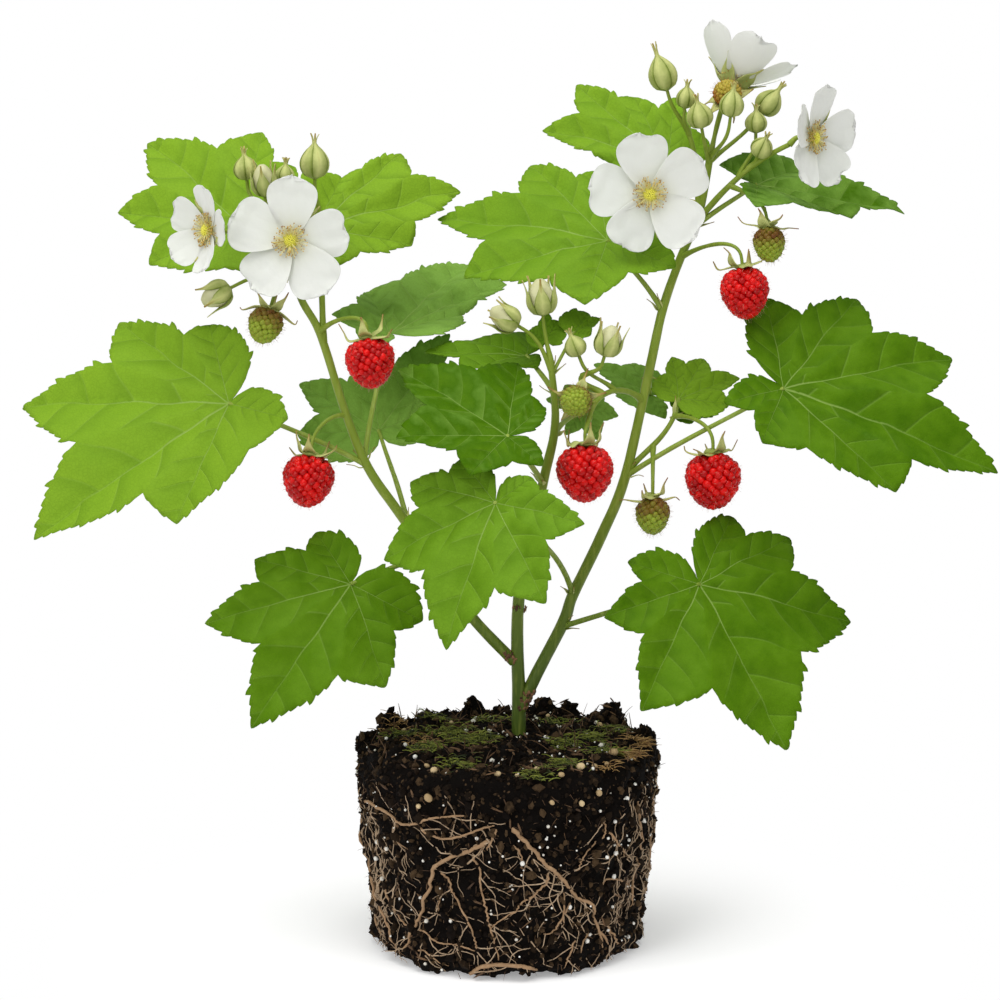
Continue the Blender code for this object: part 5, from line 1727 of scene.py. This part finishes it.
# %% Crumbs on the soil
def make_crumb_tree():
    """Copies of a few clods scattered over a surface, turned and sized at random."""
    tree, start, end = new_tree("crumbs_on_soil", {
        "Clods": "Collection", "Per Square Metre": "Float", "Smallest": "Float", "Largest": "Float",
        "Seed": "Int", "Finish": "Material"})
    normal = add_node(tree, "GeometryNodeInputNormal")
    up = add_node(tree, "ShaderNodeSeparateXYZ", {0: normal.outputs[0]}).outputs[2]
    not_below = calculate(tree, "GREATER_THAN", up, -0.75)
    points = add_node(tree, "GeometryNodeDistributePointsOnFaces", {
        "Mesh": start.outputs["Geometry"], "Selection": not_below,
        "Density": start.outputs["Per Square Metre"], "Seed": start.outputs["Seed"]})
    clods = add_node(tree, "GeometryNodeCollectionInfo",
                     {"Collection": start.outputs["Clods"], "Separate Children": True})
    turn = add_node(tree, "FunctionNodeRandomValue", {1: (6.3, 6.3, 6.3), "Seed": 1},
                    data_type="FLOAT_VECTOR")
    chance = add_node(tree, "FunctionNodeRandomValue", {2: 0.0, 3: 1.0, "Seed": 2}, data_type="FLOAT")
    skewed = calculate(tree, "POWER", chance.outputs[1], 2.5)
    span = calculate(tree, "SUBTRACT", start.outputs["Largest"], start.outputs["Smallest"])
    size = calculate(tree, "MULTIPLY_ADD", skewed, span, start.outputs["Smallest"])
    copies = add_node(tree, "GeometryNodeInstanceOnPoints", {
        "Points": points.outputs[0], "Instance": clods.outputs[0], "Pick Instance": True,
        "Rotation": turn.outputs[0], "Scale": size})
    shade = add_node(tree, "FunctionNodeRandomValue", {2: 0.0, 3: 1.0, "Seed": 3}, data_type="FLOAT")
    toned = add_node(tree, "GeometryNodeStoreNamedAttribute", {
        "Geometry": copies.outputs[0], "Name": "tone", "Value": shade.outputs[1]},
        data_type="FLOAT", domain="INSTANCE")
    return close_tree(tree, start, end, toned.outputs[0], smooth=False)


def clod_collection():
    """Four rough clods in a collection of their own, which the scene doesn't show."""
    group = bpy.data.collections.new("clod_shapes")
    rng = chance("clod")
    for k in range(4):
        bm = bmesh.new()
        bmesh.ops.create_icosphere(bm, subdivisions=1, radius=1.0)
        for vertex in bm.verts:
            vertex.co *= rng.uniform(0.65, 1.25)
        bmesh.ops.scale(bm, vec=(1.0, rng.uniform(0.7, 1.0), rng.uniform(0.55, 0.9)), verts=bm.verts)
        clod = helper_shape(f"clod_{k}", bm)
        group.objects.link(clod)
        bpy.context.scene.collection.objects.unlink(clod)
    return group


def scatter(name, soil, group, per_square_metre, smallest, largest, seed):
    crumbs = run_tree(CRUMB_TREE, object_of(name, soil.copy()), name, {
        "Clods": group, "Per Square Metre": per_square_metre, "Smallest": smallest,
        "Largest": largest, "Seed": seed, "Finish": CRUMB})
    return keep_piece(crumbs, "soil")


CRUMB_TREE = make_crumb_tree()
soil_mesh = make_soil()
clods = clod_collection()
scatter("soil_fine_crumbs", soil_mesh, clods, per_square_metre=170000, smallest=0.5, largest=1.7, seed=11)
scatter("soil_coarse_crumbs", soil_mesh, clods, per_square_metre=26000, smallest=1.2, largest=3.2, seed=12)
keep_piece(object_of("soil_mass", soil_mesh, SOIL), "soil", "root_ball")

# %% [markdown]
# ## Roots
#
# Old tan roots run down the plug and fork, and fine pale ones leave them and wander over the soil,
# dipping in and out of it. The main ones follow listed courses; the fine ones are grown from a
# seed by a small random walk that branches.

# %% Main roots
# (degrees round from the front, height in mm) along each root, then its radius at both ends.
ROOTS = {
    "root_front_right": (
        [(2, 67), (8, 60), (14, 52), (20, 46), (28, 36), (36, 30), (40, 20), (50, 9)], 0.95, 0.55),
    "root_front_left": (
        [(-6, 62), (-16, 56), (-27, 50), (-32, 38), (-38, 26), (-44, 16), (-50, 6)], 0.9, 0.55),
    "root_left_upper": (
        [(-78, 64), (-65, 69), (-54, 67), (-45, 64), (-36, 66), (-30, 69), (-15, 72)], 0.7, 0.45),
    "root_left_side": ([(-100, 72), (-88, 56), (-76, 38), (-66, 27), (-58, 15), (-54, 5)], 0.8, 0.5),
    "root_back": ([(195, 70), (180, 55), (170, 40), (155, 25), (150, 8)], 0.95, 0.6),
}
FORKS = [
    ([(-36, 65), (-28, 61), (-20, 62), (-11, 66), (-4, 68)], 0.5, 0.45),
    ([(-4, 67), (-6, 62), (-8, 57)], 0.5, 0.4),
    ([(2, 60), (5, 56), (6, 48)], 0.4, 0.3),
    ([(16, 48), (15, 43), (10, 38), (6, 35), (3, 31), (-3, 27), (-7, 23)], 0.5, 0.3),
    ([(-14, 55), (-11, 49), (-10, 39), (-8, 31), (-7, 24), (-3, 7)], 0.5, 0.35),
    ([(-27, 47), (-23, 42), (-21, 36), (-16, 27), (-13, 17), (-12, 13)], 0.45, 0.35),
    ([(39, 68), (39, 62), (36, 58), (30, 52), (28, 46)], 0.4, 0.3),
    ([(41, 62), (45, 56), (51, 52), (55, 46)], 0.5, 0.35),
    ([(39, 36), (42, 40), (49, 39), (55, 36), (62, 31), (62, 22)], 0.45, 0.35),
    ([(23, 39), (22, 31), (23, 21)], 0.4, 0.3),
    ([(27, 34), (22, 28), (19, 21), (14, 20)], 0.45, 0.3),
    ([(29, 18), (26, 10), (25, 4)], 0.4, 0.3),
    ([(38, 19), (33, 15), (31, 10)], 0.4, 0.3),
    ([(41, 19), (44, 9)], 0.6, 0.4),
    ([(44, 21), (50, 14), (55, 8)], 0.6, 0.35),
    ([(-16, 2), (-11, 6), (-3, 7), (6, 7), (13, 3)], 0.9, 0.8),
    ([(-61, 37), (-54, 26), (-49, 20), (-41, 19)], 0.5, 0.35),
    ([(-40, 18), (-36, 19), (-30, 15), (-21, 15), (-12, 13)], 0.45, 0.3),
    ([(-42, 9), (-35, 10), (-27, 4)], 0.4, 0.3),
    ([(-28, 36), (-29, 28)], 0.4, 0.3),
    ([(-52, 58), (-42, 52)], 0.4, 0.3),
    ([(60, 72), (62, 55), (63, 38), (64, 20)], 0.6, 0.4),
    ([(-96, 60), (-90, 40), (-80, 20), (-70, 5)], 0.7, 0.5),
    ([(-104, 70), (-100, 48), (-97, 26), (-92, 6)], 0.7, 0.4),
    ([(84, 72), (80, 50), (84, 30), (78, 10)], 0.8, 0.5),
    ([(98, 66), (92, 44), (96, 22), (90, 5)], 0.7, 0.4),
    ([(195, 70), (205, 56), (216, 44), (222, 26), (232, 8)], 0.9, 0.5),
    ([(180, 55), (192, 40), (196, 24), (204, 10)], 0.6, 0.4),
    ([(140, 74), (132, 58), (136, 40), (124, 24), (120, 6)], 1.0, 0.6),
    ([(240, 72), (248, 54), (244, 36), (254, 20), (250, 6)], 0.9, 0.5),
    ([(120, 50), (110, 36), (104, 20)], 0.6, 0.4),
]


EARTHED = (2.2, 1.6)      # how deep a root's first and last points lie in the soil
EARTHED_POINTS = 1.5      # over how many points it comes out
LOWEST_ROOT, HIGHEST_ROOT = 1.5, 83
UNEVEN_ROOT = (0.86, 1.14)


def lying_root(course, start, end, rng):
    """(points, radii) of a root that comes out of the soil, lies on its lumps and goes in again."""
    through = smooth_path([Vector((degrees, height, 0)) for degrees, height in course], 8)
    points, radii = [], []
    last = len(through) - 1
    for i, place in enumerate(through):
        radius = start + (end - start) * i / last
        first, final = [math.exp(-k / EARTHED_POINTS) for k in (i, last - i)]
        buried = EARTHED[0] * first + EARTHED[1] * final
        above = 0.55 + 0.35 * radius - buried
        height = min(max(place.y, LOWEST_ROOT), HIGHEST_ROOT)
        points.append(on_side(place.x + rng.uniform(-0.5, 0.5), height, above))
        radii.append(radius * rng.uniform(*UNEVEN_ROOT) * (0.5 + 0.5 * min(1, (last - i) / 4)))
    return points, radii


def make_old_roots():
    rng = chance("old_root")
    for name, (course, start, end) in ROOTS.items():
        path = lying_root(course, start, end, rng)
        tube = make_tubes(f"{name}_tube", [path], OLD_ROOT, sides=9, roughness=0.6, lump=1.6)
        keep_piece(tube, "root", name)
    forks = [lying_root(*fork, rng) for fork in FORKS]
    keep_piece(make_tubes("root_forks", forks, OLD_ROOT, sides=7, roughness=0.4, lump=1.4), "root")


make_old_roots()

# %% Fine roots
WALK_STEP = 1.6           # in mm
WALK_TURN = 17            # how far each step may turn, in degrees
LOWEST_FIBRE, HIGHEST_FIBRE = 1.5, 80
BRANCH_CHANCE = 0.11
FORK_FIBRES = 0.75        # the chance that a stretch of an old root bears a fine one
LOOSE_FIBRES, SIDE_FIBRES = 120, 90
HEADINGS = (-60, -90, -120, -30, -150)
MATTED = (-90, 90, 60, -65)   # the degrees round where hanging roots are densest
MATTED_WIDE = 9


def grow_root(rng, degrees, height, heading, length, radius, depth, found):
    """A walk over the side from a point; heading is 0 to the right and -90 down. Branches recurse."""
    points = []
    steps = max(4, int(length / WALK_STEP))
    bend = rng.uniform(-5, 5)
    for k in range(steps):
        wave = noise.noise(Vector((degrees / 3, height / 5, 2.0 + depth)))
        points.append(on_side(degrees, height, 0.45 + 1.1 * wave))
        heading += bend + rng.uniform(-WALK_TURN, WALK_TURN)
        degrees += WALK_STEP * math.cos(math.radians(heading)) * 180 / (math.pi * CROWN_RADIUS)
        height += WALK_STEP * math.sin(math.radians(heading))
        if not LOWEST_FIBRE < height < HIGHEST_FIBRE:
            break
        if depth < 2 and k > 1 and rng.random() < BRANCH_CHANCE:
            side = rng.choice((-1, 1)) * rng.uniform(25, 60)
            grow_root(rng, degrees, height, heading + side, length * rng.uniform(0.3, 0.6), radius * 0.72,
                      depth + 1, found)
    if len(points) > 3:
        found.append(tapered(points, radius, radius * 0.5))


def make_fine_roots():
    rng = chance("fine_root")
    found = []
    for course, start, _ in (*ROOTS.values(), *FORKS):
        for (d0, h0), (d1, h1) in zip(course, course[1:]):
            if rng.random() < FORK_FIBRES:
                t = rng.random()
                heading = math.degrees(math.atan2(h1 - h0, (d1 - d0) * 1.06))
                heading += rng.choice((-1, 1)) * rng.uniform(20, 70)
                grow_root(rng, d0 + (d1 - d0) * t, h0 + (h1 - h0) * t, heading, rng.uniform(9, 26),
                          0.26 + 0.08 * start, 0, found)
    for _ in range(LOOSE_FIBRES):
        height = 66 * rng.random() ** 1.25 + 4
        at = rng.uniform(-180, 180)
        heading = rng.choice(HEADINGS) + rng.uniform(-25, 25)
        grow_root(rng, at, height, heading, rng.uniform(8, 24), rng.uniform(0.18, 0.32), 1, found)
    for _ in range(SIDE_FIBRES):
        at = rng.choice(MATTED) + rng.gauss(0, MATTED_WIDE)
        height = rng.uniform(30, 80)
        heading = -90 + rng.uniform(-14, 14)
        grow_root(rng, at, height, heading, rng.uniform(15, 45), rng.uniform(0.18, 0.34), 1, found)
    print("fine roots:", len(found))
    keep_piece(make_tubes("root_fine", found, FINE_ROOT, sides=5), "root")


make_fine_roots()

# %% [markdown]
# ## What lies on the soil
#
# White perlite, tan pebbles, bark, moss and straw, and the fine fibres that stand out all round.

# %% Perlite, pebbles and bark
SIDE_PERLITE, CROWN_PERLITE, BARK_CHIPS, CROWN_CHIPS = 300, 110, 420, 0.55
# Pebbles on the crown as (x, y, radius), and on the side as (degrees round, height, radius).
CROWN_PEBBLES = [
    (44, -32, 2.4), (30, -50, 2.0), (22, -56, 1.5), (36, -42, 1.4), (41, -40, 1.2), (26, -46, 1.3),
    (-30, -50, 1.9), (-33, -44, 1.3), (-4, -58, 1.6), (4, -57, 1.1), (12, -52, 1.2), (50, -24, 1.4),
    (-10, 34, 1.5), (40, 20, 1.6), (-44, 12, 1.4), (18, 38, 1.2), (-24, 22, 1.1)]
SIDE_PEBBLES = [
    (-30, 78, 2.0), (-34, 74, 1.3), (28, 76, 1.5), (36, 79, 1.7), (16, 78, 1.2), (150, 70, 1.8),
    (-150, 62, 1.6), (100, 76, 1.6)]


def random_side(rng, skew=1.0, low=2, high=82):
    """(degrees round, height) of a random place on the side; a skew below 1 favours the top."""
    return rng.uniform(-180, 180), low + (high - low) * rng.random() ** skew


def random_top(rng, above, reach=CROWN_RADIUS):
    """A random place this far above the crown."""
    angle, radius = rng.uniform(0, 2 * math.pi), reach * math.sqrt(rng.random())
    return on_top(radius * math.cos(angle), radius * math.sin(angle), above)


def make_perlite(rng):
    specks = []
    for _ in range(SIDE_PERLITE):
        place = on_side(*random_side(rng, 0.75), 0.9)
        size = 0.45 + 0.85 * rng.random() ** 3
        lie = (rng.gauss(0, 1), rng.gauss(0, 1), 1)
        specks.append(chance_copy(rng, place, lie, (size, size * rng.uniform(0.7, 1), size)))
    for _ in range(CROWN_PERLITE):
        place = random_top(rng, 0.9, 60)
        size = 0.4 + 0.9 * rng.random() ** 3
        specks.append(Copy(place, (0, 0.3, 1), (size, size, size), 0.0, rng.random()))
    return specks


def make_pebbles(rng):
    stones = []
    for x, y, size in CROWN_PEBBLES:
        lie = (rng.gauss(0, 0.4), rng.gauss(0, 0.4), 1)
        stones.append(chance_copy(rng, on_top(x, y, 0.7 * size), lie, (size, size * 0.85, size * 0.7)))
    for degrees, height, size in SIDE_PEBBLES:
        place = on_side(degrees, height, 0.7 * size)
        stones.append(chance_copy(rng, place, (1, 0, 1), (size, size * 0.8, size * 0.8)))
    return stones


def make_bark(rng):
    chips = []
    for _ in range(BARK_CHIPS):
        if rng.random() < CROWN_CHIPS:
            place = random_top(rng, 0.8)
            lie = Vector((rng.gauss(0, 1), rng.gauss(0, 1), rng.gauss(0.1, 0.3)))
        else:
            degrees, height = random_side(rng, 0.9)
            place = on_side(degrees, height, 0.5)
            lie = level_way(math.radians(degrees)) * rng.gauss(0, 1) + Vector((0, 0, rng.gauss(0, 1)))
        wide = rng.uniform(0.3, 0.8)
        chips.append(chance_copy(rng, place, lie, (wide, wide * 0.6, rng.uniform(1.4, 3.8))))
    return chips


litter_rng = chance("litter")
small, large = ball_shape("speck_shape"), ball_shape("stone_shape", 2)
keep_piece(set_out("soil_perlite", make_perlite(litter_rng), small, PERLITE), "soil")
keep_piece(set_out("soil_pebbles", make_pebbles(litter_rng), large, PEBBLE), "soil")
keep_piece(set_out("soil_bark", make_bark(litter_rng), small, BARK), "soil")
discard(small, large)

# %% Moss, straw and loose fibres
# Tufts: (x, y, spread, strands).
MOSS_TUFTS = [(-25, 8, 9, 260), (-15, -10, 8, 240), (-33, -22, 7, 150), (-20, -42, 6, 120), (-44, 4, 6, 90),
              (24, -10, 6, 110), (36, 2, 7, 120), (24, -44, 6, 130), (42, -24, 6, 110), (12, -55, 5, 80),
              (-6, 26, 7, 90), (22, 30, 7, 80), (46, 16, 6, 70), (-30, 34, 6, 70)]
STRAW_TUFTS = [(52, -24, 5, 120), (57, -10, 4, 110), (42, -42, 4, 40), (-36, -8, 6, 50), (-48, 20, 6, 40)]
SIDE_FUZZ, CROWN_TWIGS = 900, 160


def strand(rng, place, along, length, radius, lift):
    """A short curved fibre that starts at a place and runs along the soil."""
    side = Vector((-along.y, along.x, 0)) * rng.uniform(-0.5, 0.5)
    points = []
    for k in range(4):
        t = k / 3
        points.append(place + along * length * t + side * length * t * t
                      + Vector((0, 0, lift * length * (t - 0.75 * t * t))))
    return points, [radius, radius, radius * 0.8, radius * 0.4]


def make_tufts(kind, tufts, finish, low, high, radius):
    """Tufts of fibres on the crown, whose lengths are between low and high."""
    rng = chance(kind)
    strands = []
    for x, y, wide, count in tufts:
        for _ in range(count):
            px, py = rng.gauss(x, wide * 0.6), rng.gauss(y, wide * 0.5)
            if math.hypot(px, py) > CROWN_RADIUS:
                continue
            way = level_way(rng.uniform(0, 2 * math.pi))
            place = on_top(px, py, rng.uniform(0.2, 1.2))
            strands.append(strand(rng, place, way, rng.uniform(low, high),
                                  radius * rng.uniform(0.7, 1.2), rng.uniform(0.1, 0.9)))
    return keep_piece(toned_tubes(f"soil_{kind}", strands, finish, rng), "soil")


def toned_tubes(name, paths, finish, rng):
    """Thin three-sided tubes, each with its own tone."""
    tube = make_tubes(name, paths, finish, sides=3)
    per = len(tube.data.vertices) // len(paths)
    tones = [t for _ in paths for t in [rng.random()] * per]
    tones += [0.5] * (len(tube.data.vertices) - len(tones))
    tube.data.attributes.new("tone", "FLOAT", "POINT").data.foreach_set("value", tones)
    return tube


make_tufts("moss", MOSS_TUFTS, MOSS, low=2.5, high=6.0, radius=0.24)
make_tufts("straw", STRAW_TUFTS, STRAW, low=3.0, high=7.0, radius=0.22)


def make_fuzz():
    """Fibres that stand out of the side and the crown, and a few twigs."""
    rng = chance("fibre")
    strands = []
    for _ in range(SIDE_FUZZ):
        degrees, height = random_side(rng, high=83)
        along = level_way(math.radians(degrees)) * rng.gauss(0, 0.8) + Vector((0, 0, rng.gauss(-0.2, 0.8)))
        way = (along + outward(degrees) * rng.uniform(0.1, 0.9)).normalized()
        place = on_side(degrees, height, 0.3)
        strands.append(strand(rng, place, way, rng.uniform(1.5, 4.5), rng.uniform(0.08, 0.16), 0.1))
    for _ in range(CROWN_TWIGS):
        place = random_top(rng, 0.5)
        way = Vector((rng.gauss(0, 1), rng.gauss(0, 1), rng.uniform(0.2, 1.6))).normalized()
        strands.append(strand(rng, place, way, rng.uniform(3, 9), rng.uniform(0.12, 0.3), 0.3))
    keep_piece(toned_tubes("soil_fibres", strands, BARK, rng), "soil")


make_fuzz()
